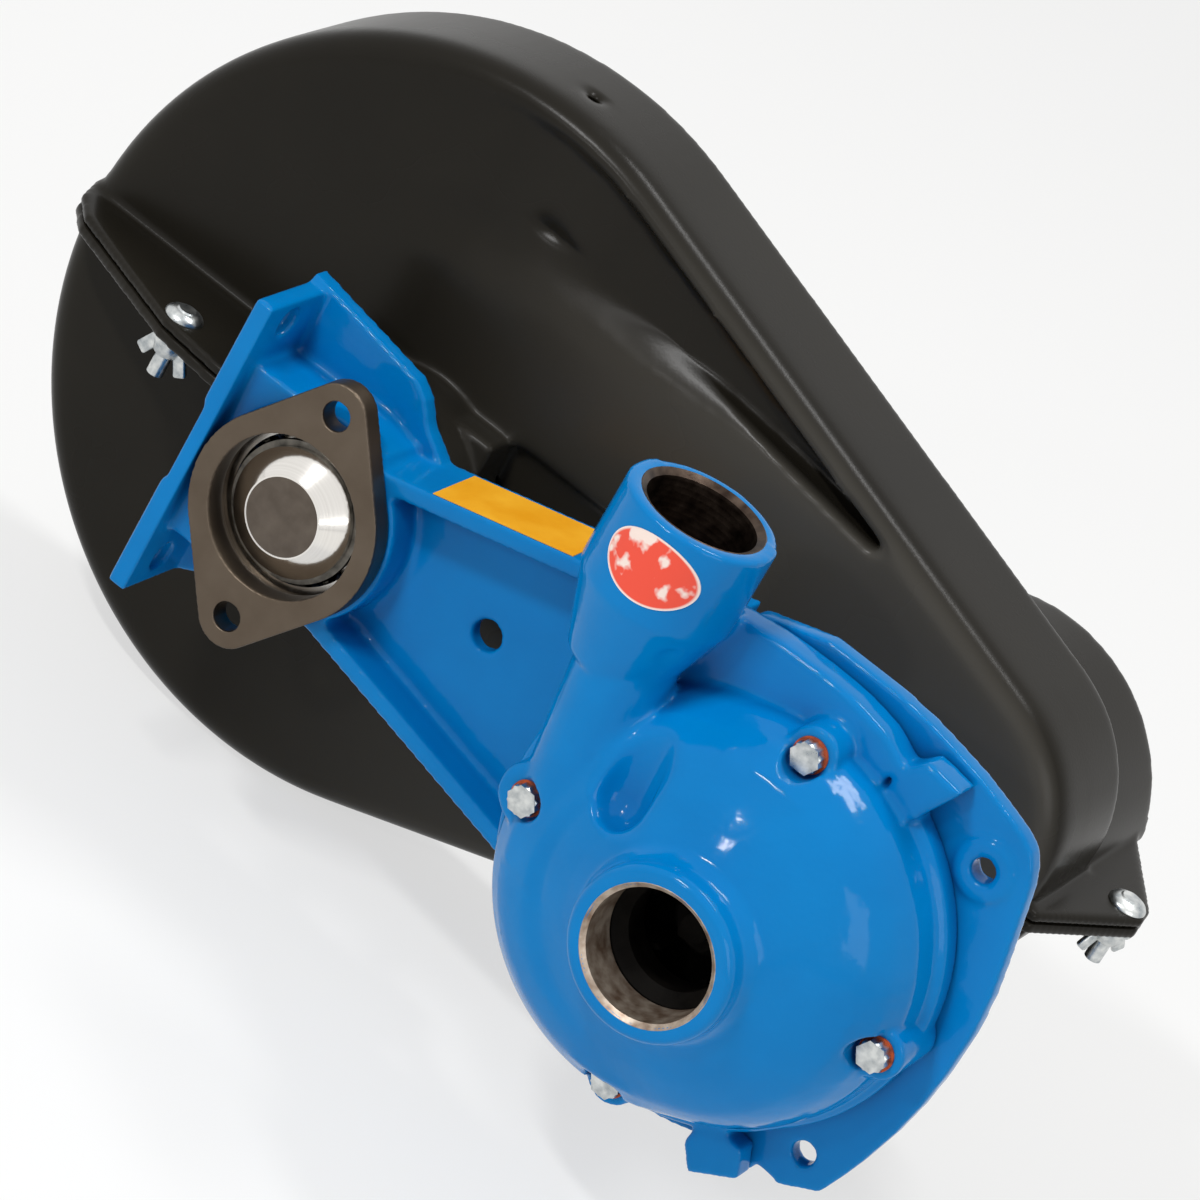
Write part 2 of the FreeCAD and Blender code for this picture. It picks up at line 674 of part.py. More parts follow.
# Volute casing: the domed front half of the pump with its suction port and outlet.
def volute_casing():
    front = d.suction_face
    face = d.plate_front - d.casing_flange_thick
    dome = turned(
        [
            (0, front),
            (d.suction_boss_r - 2, front),
            (d.suction_boss_r, front + 2),
            (d.suction_boss_r, front + 9),
            (d.suction_boss_r + 3, front + 14),
            (d.suction_boss_r + 10, front + 18),
            (d.dome_r - 24, front + 22.5),
            (d.dome_r - 12, front + 30),
            (d.dome_r - 5, front + 39),
            (d.dome_r - 1, front + 49),
            (d.dome_r, face),
            (d.dome_r + 1, face + 2),
            (d.casing_flange_r - 1.5, face + 2),
            (d.casing_flange_r, face + 3),
            (d.casing_flange_r, d.plate_front),
            (0, d.plate_front),
        ],
        pump_x,
    )
    swell = turned(
        [
            (0, front + 22),
            (d.swell_r - 27, front + 24),
            (d.swell_r - 15, front + 30),
            (d.swell_r - 7, front + 39),
            (d.swell_r - 2.5, front + 50),
            (d.swell_r, face),
            (d.swell_flange_r - 1.5, face + 0.5),
            (d.swell_flange_r, face + 2.5),
            (d.swell_flange_r, d.plate_front),
            (0, d.plate_front),
        ],
        pump_x - d.swell_left,
    )
    bind(swell, "Placement.Base.z", 0 - d.swell_low)
    outlet_x = pump_x - d.outlet_x
    boss = rod(
        d.outlet_boss_r,
        d.outlet_top - d.outlet_boss_low,
        outlet_x,
        d.outlet_y,
        d.outlet_boss_low,
        "Z",
    )
    shoulder = cone(
        d.neck_r,
        d.outlet_boss_r,
        d.shoulder_tall,
        outlet_x,
        d.outlet_y,
        d.outlet_boss_low - d.shoulder_tall,
        "Z",
    )
    web = slab(
        [
            (-74, 84),
            (-44, 88),
            (-32, 89.5),
            (-16, 90),
            (0, 89.5),
            (14, 87),
            (24, 82),
            (20, 66),
            (-34, 50),
            (-64, 50),
        ],
        face - 2,
        d.casing_flange_thick + 2,
        pump_x,
    )
    lug = slab(lug_corners(), face + 1, d.casing_flange_thick - 1, pump_x)
    foot = (float(pump_x - d.neck_foot_x), float(d.outlet_y), float(d.neck_foot_z))
    head = (float(outlet_x), float(d.outlet_y), float(d.outlet_boss_low))
    run = Vector(*head) - Vector(*foot)
    lean = Rotation(Vector(0, 0, 1), run)

    def neck_rod(r, extra):
        thing = doc.addObject("Part::Cylinder", "neck")
        bind(thing, "Radius", r)
        thing.Height = run.Length + extra
        thing.Placement = Placement(Vector(*foot), lean)
        return thing

    neck = neck_rod(d.neck_r, 0)
    knee = doc.addObject("Part::Sphere", "knee")
    bind(knee, "Radius", d.neck_r)
    place(knee, pump_x - d.neck_foot_x, d.outlet_y, d.neck_foot_z)
    bosses = []
    holes = []
    for angle in (0, 90, 180, 270):
        seat = d.casing_seat_left if angle == 180 else d.casing_seat
        x, z = around(angle, d.casing_bolt_ring, pump_x)
        boss_r = d.casing_boss_left_r if angle == 180 else d.casing_boss_r
        bosses.append(rod(boss_r, d.plate_front - seat, x, seat, z))
        holes.append(rod(d.casing_bolt_r + 0.3, d.plate_front - seat + CUT_EXTRA, x, seat - 1, z))
        holes.append(rod(d.casing_washer_r + 0.8, 12, x, seat - 12, z))
    pad = slab(
        [(24, 66), (33, 62), (38, 70), (46, 86), (31, 88), (24, 80)],
        face - 2,
        d.casing_flange_thick + 2,
        pump_x,
    )
    solid = join(dome, swell, boss, shoulder, web, lug, neck, knee, pad, *bosses)
    chamber = turned(
        [
            (0, front - 1),
            (d.suction_r + 1.5, front - 1),
            (d.suction_r, front + 1.5),
            (d.suction_r, front + d.suction_deep),
            (d.eye_r, front + d.suction_deep + 4),
            (d.eye_r, front + 27),
            (22.1, front + 27),
            (22.1, front + 32),
            (26, front + 33),
            (chamber_r - 5, front + 42),
            (chamber_r, front + 47),
            (chamber_r, d.plate_front + 1),
            (0, d.plate_front + 1),
        ],
        pump_x,
    )
    outlet_bore = rod(
        d.outlet_r,
        d.outlet_deep + 1,
        outlet_x,
        d.outlet_y,
        d.outlet_top - d.outlet_deep,
        "Z",
    )
    mouth = cone(
        d.outlet_r,
        d.outlet_r + 2.5,
        2.5,
        outlet_x,
        d.outlet_y,
        d.outlet_top - 2,
        "Z",
    )
    throat = cone(
        d.neck_bore_r - 3,
        d.outlet_r,
        14,
        outlet_x,
        d.outlet_y,
        d.outlet_top - d.outlet_deep - 14,
        "Z",
    )
    passage = neck_rod(d.neck_bore_r, 3)
    groove = []
    for share in (0.25, 0.85):
        ball = doc.addObject("Part::Sphere", "groove_end")
        bind(ball, "Radius", d.groove_r)
        x = pump_x - d.neck_foot_x + d.groove_right + (d.neck_foot_x - d.outlet_x) * share
        z = d.neck_foot_z + (d.outlet_boss_low - d.neck_foot_z) * share
        groove.append(place(ball, x, d.groove_y, z))
    channel = doc.addObject("Part::Cylinder", "groove")
    bind(channel, "Radius", d.groove_r)
    low, high = (ball.Placement.Base for ball in groove)
    bind(channel, "Height", (d.outlet_boss_low - d.neck_foot_z) * (0.6 * run.Length / run.z))
    channel.Placement = Placement(low, Rotation(Vector(0, 0, 1), high - low))
    tools = [chamber, outlet_bore, mouth, throat, passage, channel, *groove, *holes]
    node("volute_casing", cut(solid, *tools))


# Casing bolts and their washers, four around the pump axis, the left one on a taller boss.
def casing_bolts():
    bolts = []
    washers = []
    for angle in (0, 90, 180, 270):
        seat = d.casing_seat_left if angle == 180 else d.casing_seat
        x, z = around(angle, d.casing_bolt_ring, pump_x)
        under = seat - d.casing_washer_thick
        shank = plate_back - 1 - under
        bolts.append(
            join(
                hexagon(d.head_flats, d.head_tall, x, under - d.head_tall, z),
                rod(d.casing_bolt_r, shank + 1, x, under - 1, z),
            )
        )
        washers.append(
            cut(
                rod(d.casing_washer_r, d.casing_washer_thick, x, under, z),
                rod(d.casing_bolt_r + 0.2, d.casing_washer_thick + 2, x, under - 1, z),
            )
        )
    node("casing_bolts", group(*bolts))
    node("casing_washers", group(*washers))


# O-ring between the casing and the pump plate, lying in the corner of the chamber.
def casing_ring():
    ring = doc.addObject("Part::Torus", "ring")
    bind(ring, "Radius1", chamber_r - 1.5)
    ring.Radius2 = 1.5
    node("casing_o_ring", place(ring, pump_x, d.plate_front - 1.5, 0, ALONG["Y"]))


# Impeller: two shrouds with swept vanes between them, on a hub that the shaft drives.
def impeller():
    front = d.suction_face
    shrouds = turned(
        [
            (d.nut_neck_r + d.running_gap, d.plate_front - 26),
            (d.impeller_hub_r, d.plate_front - 26),
            (d.impeller_hub_r + 3, d.plate_front - 13),
            (d.impeller_r, d.plate_front - 9),
            (d.impeller_r, d.plate_front - 6),
            (d.impeller_hub_r + 2, d.plate_front - 6),
            (d.impeller_hub_r, d.plate_front - 11),
            (d.nut_neck_r + d.running_gap, d.plate_front - 11),
        ],
        pump_x,
    )
    eye = turned(
        [
            (19.5, front + 28),
            (22.0, front + 28),
            (22.0, front + 34),
            (27, front + 35.5),
            (d.impeller_r, front + 48),
            (d.impeller_r, front + 51),
            (26, front + 38.5),
            (19.5, front + 36),
        ],
        pump_x,
    )
    vanes = []
    count = int(float(d.vane_count))
    for i in range(count):
        vane = shaped("vane", vane_shape(360.0 / count * i))
        vanes.append(vane)
    node("impeller", join(shrouds, eye, *vanes))


def vane_shape(angle):
    """One backward-swept vane between the shrouds, as a bent strip."""
    hub = float(d.impeller_hub_r) + 6
    rim = float(d.impeller_r) - 0.5
    thick = 2.4
    swept = 55.0
    steps = 8
    inner = []
    outer = []
    for i in range(steps + 1):
        share = i / steps
        r = hub + (rim - hub) * share
        turn = math.radians(angle - swept * share)
        inner.append(Vector(r * math.cos(turn), 0, r * math.sin(turn)))
        wide = thick / r
        outer.append(Vector(r * math.cos(turn + wide), 0, r * math.sin(turn + wide)))
    wire = Part.makePolygon(inner + outer[::-1] + inner[:1])
    strip = Part.Face(wire).extrude(Vector(0, 24, 0))
    strip.translate(Vector(float(pump_x), float(d.plate_front) - 32, 0))
    front = float(d.suction_face)
    back = float(d.plate_front)
    profile = [
        Vector(15, front + 36.5, 0),
        Vector(26, front + 37.5, 0),
        Vector(float(d.impeller_r), front + 50, 0),
        Vector(float(d.impeller_r), back - 8, 0),
        Vector(float(d.impeller_hub_r) + 3, back - 12, 0),
        Vector(15, front + 36.5, 0),
    ]
    space = Part.Face(Part.makePolygon(profile)).revolve(Vector(), Vector(0, 1, 0), 360)
    space.translate(Vector(float(pump_x), 0, 0))
    return strip.common(space)


# Impeller nut, seal head, seal spring and stationary seal ring, in order along the shaft.
def seal():
    start = d.plate_front - 26
    node(
        "impeller_nut",
        cut(
            hexagon(17, 7, pump_x, start - 7),
            rod(d.nut_neck_r - 1, 20, pump_x, start - 14),
        ),
    )
    node(
        "seal_seat",
        turned(
            [
                (d.seal_neck_r + 1, d.plate_front),
                (d.seal_bore_r, d.plate_front),
                (d.seal_bore_r, d.plate_front + d.seal_seat_thick),
                (d.seal_neck_r + 1.5, d.plate_front + d.seal_seat_thick),
                (d.seal_neck_r + 1, d.plate_front + d.seal_seat_thick - 1),
            ],
            pump_x,
        ),
    )
    node(
        "seal_head",
        turned(
            [
                (d.seal_neck_r, d.plate_front - 5),
                (d.seal_neck_r + 5.5, d.plate_front - 5),
                (d.seal_neck_r + 5.5, d.plate_front - 2),
                (d.seal_neck_r + 3.5, d.plate_front - d.running_gap),
                (d.seal_neck_r, d.plate_front - d.running_gap),
            ],
            pump_x,
        ),
    )
    spring = coil(12.0, 1.0, 5.2, 1.5)
    spring.translate(Vector(float(pump_x), float(d.plate_front) - 10.6, 0))
    node("seal_spring", shaped("seal_spring", spring))


def coil(radius, wire_r, tall, turns):
    """A helical spring along +Y that starts at the origin plane."""
    rise = tall - 2 * wire_r
    helix = Part.makeHelix(rise / turns, rise, radius)
    ring = Part.Wire(Part.makeCircle(wire_r, Vector(radius, 0, 0), Vector(0, 1, 0)))
    body = Part.Wire(helix).makePipeShell([ring], True, True)
    body.rotate(Vector(), Vector(1, 0, 0), -90)
    body.translate(Vector(0, wire_r, 0))
    return body


# Pump shaft, stepped for the impeller, seal, two bearings and the pulley.
def pump_shaft():
    start = d.plate_front - 26
    body = turned(
        [
            (0, start - 12),
            (d.nut_neck_r - 1, start - 12),
            (d.nut_neck_r - 1, start),
            (d.nut_neck_r, start),
            (d.nut_neck_r, d.plate_front - 11),
            (d.seal_neck_r, d.plate_front - 11),
            (d.seal_neck_r, d.pump_bearing_front - 3),
            (d.pump_shaft_r, d.pump_bearing_front - 3),
            (d.pump_shaft_r, d.pump_bearing_back + d.pump_bearing_wide + 3),
            (d.pump_end_r, d.pump_bearing_back + d.pump_bearing_wide + 3),
            (d.pump_end_r, d.pump_shaft_back - 1),
            (d.pump_end_r - 1, d.pump_shaft_back),
            (0, d.pump_shaft_back),
        ],
        pump_x,
    )
    half = d.pump_key_wide / 2
    slot = block(
        pump_x - half,
        d.pulley_front + 2,
        d.pump_end_r - 3,
        d.pump_key_wide,
        40,
        CUT_EXTRA,
    )
    node("pump_shaft", cut(body, slot))
    node(
        "pump_key",
        block(
            pump_x - half,
            d.pulley_front + 2,
            d.pump_end_r - 3,
            d.pump_key_wide,
            40,
            5,
        ),
    )


# Ball bearings: an outer ring, an inner ring and a set of balls each.
def bearing(label, x, front, wide, r_in, r_out):
    middle = (float(r_in) + float(r_out)) / 2
    gap = (float(r_out) - float(r_in)) / 2
    ball_r = gap * 0.55
    land = gap * 0.45
    groove_r = ball_r + float(d.running_gap)
    groove = Part.makeTorus(middle, groove_r, Vector(), Vector(0, 1, 0))
    half = float(wide) / 2

    def ring(inner, outer):
        tube = Part.makeCylinder(outer, 2 * half, Vector(0, -half, 0), Vector(0, 1, 0))
        hole = Part.makeCylinder(inner, 4 * half, Vector(0, -2 * half, 0), Vector(0, 1, 0))
        return tube.cut(hole).cut(groove)

    outer = ring(middle + land, float(r_out))
    inner = ring(float(r_in), middle - land)
    count = int(2 * math.pi * middle / (2 * ball_r * 1.25))
    balls = []
    for i in range(count):
        turn = 2 * math.pi * i / count
        spot = Vector(middle * math.cos(turn), 0, middle * math.sin(turn))
        balls.append(Part.makeSphere(ball_r, spot))
    shift = Placement(Vector(float(x), float(front) + half, 0), Rotation())
    for part, shape in (
        ("outer", outer),
        ("inner", inner),
        ("balls", Part.Compound(balls)),
    ):
        thing = shaped(f"{label}_{part}", shape)
        thing.Placement = shift
        node(f"{label}_{part}", thing)


def bearings():
    for name, front in (("front", d.pump_bearing_front), ("rear", d.pump_bearing_back)):
        bearing(
            f"pump_{name}_bearing",
            pump_x,
            front,
            d.pump_bearing_wide,
            d.pump_shaft_r,
            d.pump_bearing_out_r,
        )
    for name, front in (("front", d.drive_bearing_front), ("rear", d.drive_bearing_back)):
        bearing(
            f"drive_{name}_bearing",
            0,
            front,
            d.drive_bearing_wide,
            d.drive_shaft_r,
            d.drive_bearing_out_r,
        )


# Snap rings that hold the two rear bearings in their barrels.
def snap_ring(label, x, r_out, start):
    thing = cut(
        rod(r_out, d.snap_thick, x, start),
        rod(r_out - 3, d.snap_thick + 2, x, start - 1),
        block(x - 4, start - 1, 0 - r_out - 2, 8, d.snap_thick + 2, 8),
    )
    node(label, thing)


# Front bearing flange: a two-bolt diamond with insert loading notches and a spigot.
def bearing_flange():
    lean = math.degrees(math.acos((float(d.flange_r) - float(d.flange_lobe_r)) / float(d.flange_hole_z)))
    touch = Size(f"({math.cos(math.radians(90 - lean))})", math.cos(math.radians(90 - lean)))
    rise = math.sin(math.radians(90 - lean))
    wide = d.flange_r * touch
    high = d.flange_r * rise
    lobe_wide = d.flange_lobe_r * touch
    lobe_high = d.flange_hole_z + d.flange_lobe_r * rise
    diamond = slab(
        [
            (wide, high),
            (lobe_wide, lobe_high),
            (-lobe_wide, lobe_high),
            (-wide, high),
            (-wide, -high),
            (-lobe_wide, -lobe_high),
            (lobe_wide, -lobe_high),
            (wide, -high),
        ],
        0,
        d.flange_thick,
    )
    solid = join(
        diamond,
        rod(d.flange_r, d.flange_thick),
        rod(d.flange_lobe_r, d.flange_thick, 0, 0, d.flange_hole_z),
        rod(d.flange_lobe_r, d.flange_thick, 0, 0, -d.flange_hole_z),
        rod(d.flange_spigot_r, d.flange_spigot_back),
    )
    tools = [
        rod(d.flange_open_r, 60, 0, -1),
        rod(d.drive_bearing_out_r, 60, 0, d.flange_thick + 1),
        rod(d.flange_hole_r, 30, 0, -1, d.flange_hole_z),
        rod(d.flange_hole_r, 30, 0, -1, -d.flange_hole_z),
    ]
    for turn in (90, 150):
        notch = block(0, 0, 0, 6, 6, 12)
        spot = float(d.flange_open_r) - 2
        angle = math.radians(turn)
        place(
            notch,
            spot * math.cos(angle) - 6 * math.sin(angle),
            -1,
            spot * math.sin(angle) + 6 * math.cos(angle),
            Rotation(Vector(0, 1, 0), -turn + 90) * Rotation(Vector(0, 1, 0), 90),
        )
        bind(notch, "Height", 12)
        tools.append(notch)
    node("bearing_flange", cut(solid, *tools))


# Drive shaft: cone at the front, bearing seats, pulley seat and the rear spline socket.
def drive_shaft():
    r = d.drive_shaft_r
    body = turned(
        [
            (0, d.cone_tip),
            (d.cone_tip_r, d.cone_tip),
            (d.cone_r, d.cone_base),
            (d.cone_r, d.cone_base + 2),
            (r, d.cone_base + 2),
            (r, d.socket_front),
            (d.socket_r, d.socket_front + 1),
            (d.socket_r, d.socket_back - 1.5),
            (d.socket_r - 1.5, d.socket_back),
            (0, d.socket_back),
        ]
    )
    bottom = d.socket_back - d.spline_deep
    bore = rod(d.spline_r, d.spline_deep, 0, bottom)
    lead = rod(d.spline_lead_r, d.spline_lead + 1, 0, d.socket_back - d.spline_lead)
    ribs = []
    count = int(float(d.spline_count))
    for i in range(count):
        rib = doc.addObject("Part::Box", "rib")
        bind(rib, "Length", d.spline_r - d.spline_inner_r + 1)
        bind(rib, "Width", d.spline_deep - d.spline_lead)
        bind(rib, "Height", d.spline_wide)
        angle = 360.0 / count * i
        turn = Rotation(Vector(0, 1, 0), -angle)
        corner = turn.multVec(Vector(float(d.spline_inner_r), 0, -float(d.spline_wide) / 2))
        c = math.cos(math.radians(angle))
        s = math.sin(math.radians(angle))
        x = d.spline_inner_r * c + d.spline_wide * (s / 2)
        z = d.spline_inner_r * s - d.spline_wide * (c / 2)
        place(rib, x, bottom, z, turn)
        assert abs(corner.x - float(x)) < 0.01 and abs(corner.z - float(z)) < 0.01
        ribs.append(rib)
    key_half = d.drive_key_wide / 2
    slot = block(
        0 - key_half,
        d.pulley_front - 4,
        r - 5,
        d.drive_key_wide,
        34,
        CUT_EXTRA + 2,
    )
    balls = []
    for side in (1, -1):
        hole = doc.addObject("Part::Cylinder", "ball_hole")
        hole.Radius = 3.55
        hole.Height = 14
        turn = Rotation(Vector(0, 1, 0), 90 * side)
        balls.append(place(hole, as_size(side) * (d.spline_r - 2), d.socket_back - 22, 0, turn))
    hollow = cut(body, bore, lead, slot)
    node("drive_shaft", cut(join(hollow, *ribs), *balls))
    node(
        "drive_key",
        block(
            0 - key_half,
            d.pulley_front - 4,
            r - 5,
            d.drive_key_wide,
            34,
            8,
        ),
    )
    node(
        "front_slinger",
        turned(
            [
                (r, d.cone_base + 2.2),
                (d.slinger_r, d.cone_base + 2.2),
                (d.slinger_r, d.drive_bearing_front - 0.9),
                (r + 4, d.drive_bearing_front - 0.9),
                (r + 4, d.drive_bearing_front),
                (r, d.drive_bearing_front),
            ]
        ),
    )


# Quick coupler on the socket: sliding collar, its spring and two locking balls.
def coupler():
    start = d.socket_back - 34
    node(
        "coupler_collar",
        turned(
            [
                (d.socket_r + 5.0, start - 2),
                (d.socket_r + 6.5, start - 2),
                (d.socket_r + 8, start),
                (d.socket_r + 8, start + 24),
                (d.socket_r + 6.5, start + 26),
                (d.socket_r + 1.8, start + 26),
                (d.socket_r + d.running_gap, start + 20),
                (d.socket_r + d.running_gap, start + 14),
                (d.socket_r + 5.0, start + 14),
            ]
        ),
    )
    spring = coil(float(d.socket_r) + 2.6, 1.0, 16.5, 3.5)
    spring.translate(Vector(0, float(start) - 9.2, 0))
    node("coupler_spring", shaped("coupler_spring", spring))
    balls = []
    for side in (1, -1):
        ball = doc.addObject("Part::Sphere", "ball")
        ball.Radius = 3.5
        balls.append(place(ball, as_size(side) * (d.socket_r - 3.6), d.socket_back - 22, 0))
    node("coupler_balls", group(*balls))
    node(
        "coupler_ring",
        turned(
            [
                (d.socket_r, start - 11.5),
                (d.socket_r + 4.5, start - 11.5),
                (d.socket_r + 4.5, start - 9.5),
                (d.socket_r, start - 9.5),
            ]
        ),
    )


# Ribbed pulleys on both shafts.
def groove_points(r, start):
    """Corners of the rim's V grooves, from front to back."""
    count = int((float(d.pulley_wide) - 4) / float(d.rib_pitch))
    first = start + (d.pulley_wide - d.rib_pitch * count) / 2
    points = []
    for i in range(count):
        at = first + d.rib_pitch * i
        points.append((r, at))
        points.append((r - d.rib_deep, at + d.rib_pitch * 0.4))
        points.append((r - d.rib_deep, at + d.rib_pitch * 0.6))
    points.append((r, first + d.rib_pitch * count))
    return points


def drive_pulley():
    front = d.pulley_front
    back = d.pulley_front + d.pulley_wide
    rim_in = d.drive_pulley_r - d.rim_thick
    bore = d.drive_shaft_r
    points = [
        (bore, d.drive_hub_front),
        (d.drive_hub_r, d.drive_hub_front),
        (d.drive_hub_r, front + 10),
        (rim_in, front + 10),
        (rim_in, front),
        (d.drive_pulley_r, front),
    ]
    points += groove_points(d.drive_pulley_r, front)
    points += [
        (d.drive_pulley_r, back),
        (rim_in, back),
        (rim_in, front + 18),
        (d.drive_hub_r, front + 18),
        (d.drive_hub_r, d.socket_front - 0.3),
        (bore, d.socket_front - 0.3),
    ]
    body = turned(points)
    holes = []
    for i in range(5):
        x, z = around(72 * i + 18, d.drive_pulley_r * 0.62, as_size(0))
        holes.append(rod(16, 20, x, front + 5, z))
    key_half = d.drive_key_wide / 2
    slot = block(
        0 - key_half,
        d.drive_hub_front - 1,
        0,
        d.drive_key_wide,
        60,
        bore + 3,
    )
    node("drive_pulley", cut(body, slot, *holes))


def pump_pulley():
    front = d.pulley_front
    back = d.pulley_front + d.pulley_wide
    bore = d.pump_end_r
    points = [(bore, front), (d.pump_pulley_r, front)]
    points += groove_points(d.pump_pulley_r, front)
    points += [
        (d.pump_pulley_r, back),
        (d.pump_hub_r, back),
        (d.pump_hub_r, d.pump_hub_back),
        (bore, d.pump_hub_back),
    ]
    body = turned(points, pump_x)
    slot = block(
        pump_x - d.pump_key_wide / 2,
        front - 1,
        0,
        d.pump_key_wide,
        70,
        bore + 2,
    )
    set_y = back + (d.pump_hub_back - back) / 2
    tap = rod(3, 30, pump_x + bore - 2, set_y, 0, "X")
    node("pump_pulley", cut(body, slot, tap))
    screw = rod(3, d.pump_hub_r - bore - 1, pump_x + bore, set_y, 0, "X")
    socket = hexagon(3, 4, pump_x + d.pump_hub_r - 4, set_y, 0, "X")
    node("pulley_set_screw", cut(screw, socket))


# Ribbed belt round both pulleys and under the idler, as one closed loop.
def looped(circles):
    """A closed line drawn tight round circles. A negative radius bends it the other way."""
    touches = []
    for i, (start, r_start) in enumerate(circles):
        end, r_end = circles[(i + 1) % len(circles)]
        way = end - start
        heading = math.atan2(way.z, way.x) - math.asin((r_end - r_start) / way.Length)
        side = Vector(-math.sin(heading), 0, math.cos(heading))
        touches.append((start - side * r_start, end - side * r_end))
    edges = []
    for i, (centre, r) in enumerate(circles):
        arrive = touches[i - 1][1]
        leave = touches[i][0]
        a = math.atan2(arrive.z - centre.z, arrive.x - centre.x)
        b = math.atan2(leave.z - centre.z, leave.x - centre.x)
        if r > 0 and b < a:
            b += 2 * math.pi
        if r < 0 and b > a:
            b -= 2 * math.pi
        half = (a + b) / 2
        middle = centre + Vector(math.cos(half), 0, math.sin(half)) * abs(r)
        edges.append(Part.Arc(arrive, middle, leave).toShape())
        edges.append(Part.LineSegment(leave, touches[i][1]).toShape())
    return Part.Wire(edges)


def belt_wire(inset):
    """The loop at one depth of the belt. inset is 0 at its inner face."""
    near = float(d.body_gap) + inset
    thick = float(d.belt_thick)
    circles = [
        (Vector(), float(d.drive_pulley_r) + near),
        (
            Vector(float(d.idler_x), 0, float(d.idler_z)),
            -(float(d.idler_r) + float(d.body_gap) + thick - inset),
        ),
        (Vector(float(pump_x), 0, 0), float(d.pump_pulley_r) + near),
    ]
    return looped(circles)


def drive_belt():
    wide = Vector(0, float(d.belt_wide), 0)
    outside = Part.Face(belt_wire(float(d.belt_thick))).extrude(wide)
    inside = Part.Face(belt_wire(0.0)).extrude(wide)
    loop = outside.cut(inside)
    loop.translate(Vector(0, float(d.belt_front), 0))
    node("drive_belt", shaped("drive_belt", loop))


# Tensioner: arm on a pivot bolt, torsion spring round the pivot, and a smooth idler.
def tensioner():
    front = d.arm_plate_front
    thick = d.arm_plate_thick
    back = front + thick
    way = Vector(float(d.idler_x - pivot_x), 0, float(d.idler_z - d.pivot_z))
    side = Vector(way.z, 0, -way.x).normalize() * 8.0
    pivot = Vector(float(pivot_x), 0, float(d.pivot_z))
    corners = [
        pivot + side,
        pivot + way + side,
        pivot + way - side,
        pivot - side,
    ]
    bar = Part.Face(Part.makePolygon(corners + corners[:1])).extrude(Vector(0, float(thick), 0))
    bar.translate(Vector(0, float(front), 0))
    arm = join(
        shaped("arm_bar", bar),
        rod(11, thick, pivot_x, front, d.pivot_z),
        rod(8, thick, d.idler_x, front, d.idler_z),
    )
    node(
        "tensioner_arm",
        cut(
            arm,
            rod(d.pivot_bolt_r + d.running_gap, 20, pivot_x, front - 10, d.pivot_z),
            rod(d.idler_bolt_r, 20, d.idler_x, front - 10, d.idler_z),
        ),
    )
    node(
        "pivot_bolt",
        join(
            rod(d.pivot_bolt_r, back + 0.3 - 62, pivot_x, 62, d.pivot_z),
            hexagon(13, 4.5, pivot_x, back + 0.3, d.pivot_z),
        ),
    )
    node(
        "idler_bolt",
        join(
            hexagon(11, 4, d.idler_x, front - 4, d.idler_z),
            rod(d.idler_bolt_r, d.idler_wide + 9.6, d.idler_x, front - 1, d.idler_z),
            hexagon(11, 3.5, d.idler_x, front + d.idler_wide + 6.1, d.idler_z),
        ),
    )
    start = back + 0.3
    node(
        "idler_pulley",
        cut(
            join(
                rod(d.idler_r, d.idler_wide - 0.4, d.idler_x, start + 0.6, d.idler_z),
                rod(7, d.idler_wide + 0.6, d.idler_x, start + 0.2, d.idler_z),
            ),
            rod(d.idler_bolt_r + d.running_gap, 60, d.idler_x, start - 5, d.idler_z),
        ),
    )
    spring = coil(12.0, 1.0, 5.0, 2.0)
    spring.translate(Vector(float(pivot_x), float(front) - 5.3, float(d.pivot_z)))
    node("tensioner_spring", shaped("tensioner_spring", spring))


# Guard: a moulded shell in two halves, split along a level plane.
def hull_face(inset):
    """The guard's outline in the front view, moved inwards by inset."""
    circles = [
        (Vector(float(d.guard_x), 0, float(d.guard_z)), float(d.guard_r) - inset),
        (Vector(float(d.guard_low_x), 0, 0), float(d.guard_low_r) - inset),
        (Vector(float(d.guard_end_x), 0, float(d.guard_end_z)), float(d.guard_end_r) - inset),
    ]
    return Part.Face(looped(circles))


def prism(face, start, end):
    solid = face.extrude(Vector(0, end - start, 0))
    solid.translate(Vector(0, start, 0))
    return solid


def plateau_face(grow):
    """The raised plateau of the upper half, enlarged by grow."""
    top_left = float(d.plateau_left) + grow
    top_right = float(d.plateau_right) + grow
    end = float(d.plateau_end) + grow
    disc = Part.Face(Part.Wire(Part.makeCircle(float(d.plateau_r) + grow, Vector(), Vector(0, 1, 0))))
    far = float(pump_x + d.guard_r)
    corners = [
        Vector(0, 0, -60),
        Vector(far, 0, -60),
        Vector(far, 0, top_right),
        Vector(end, 0, top_right),
        Vector(24, 0, top_left),
        Vector(0, 0, float(d.plateau_r) + grow),
    ]
    return disc.fuse(Part.Face(Part.makePolygon(corners + corners[:1])))


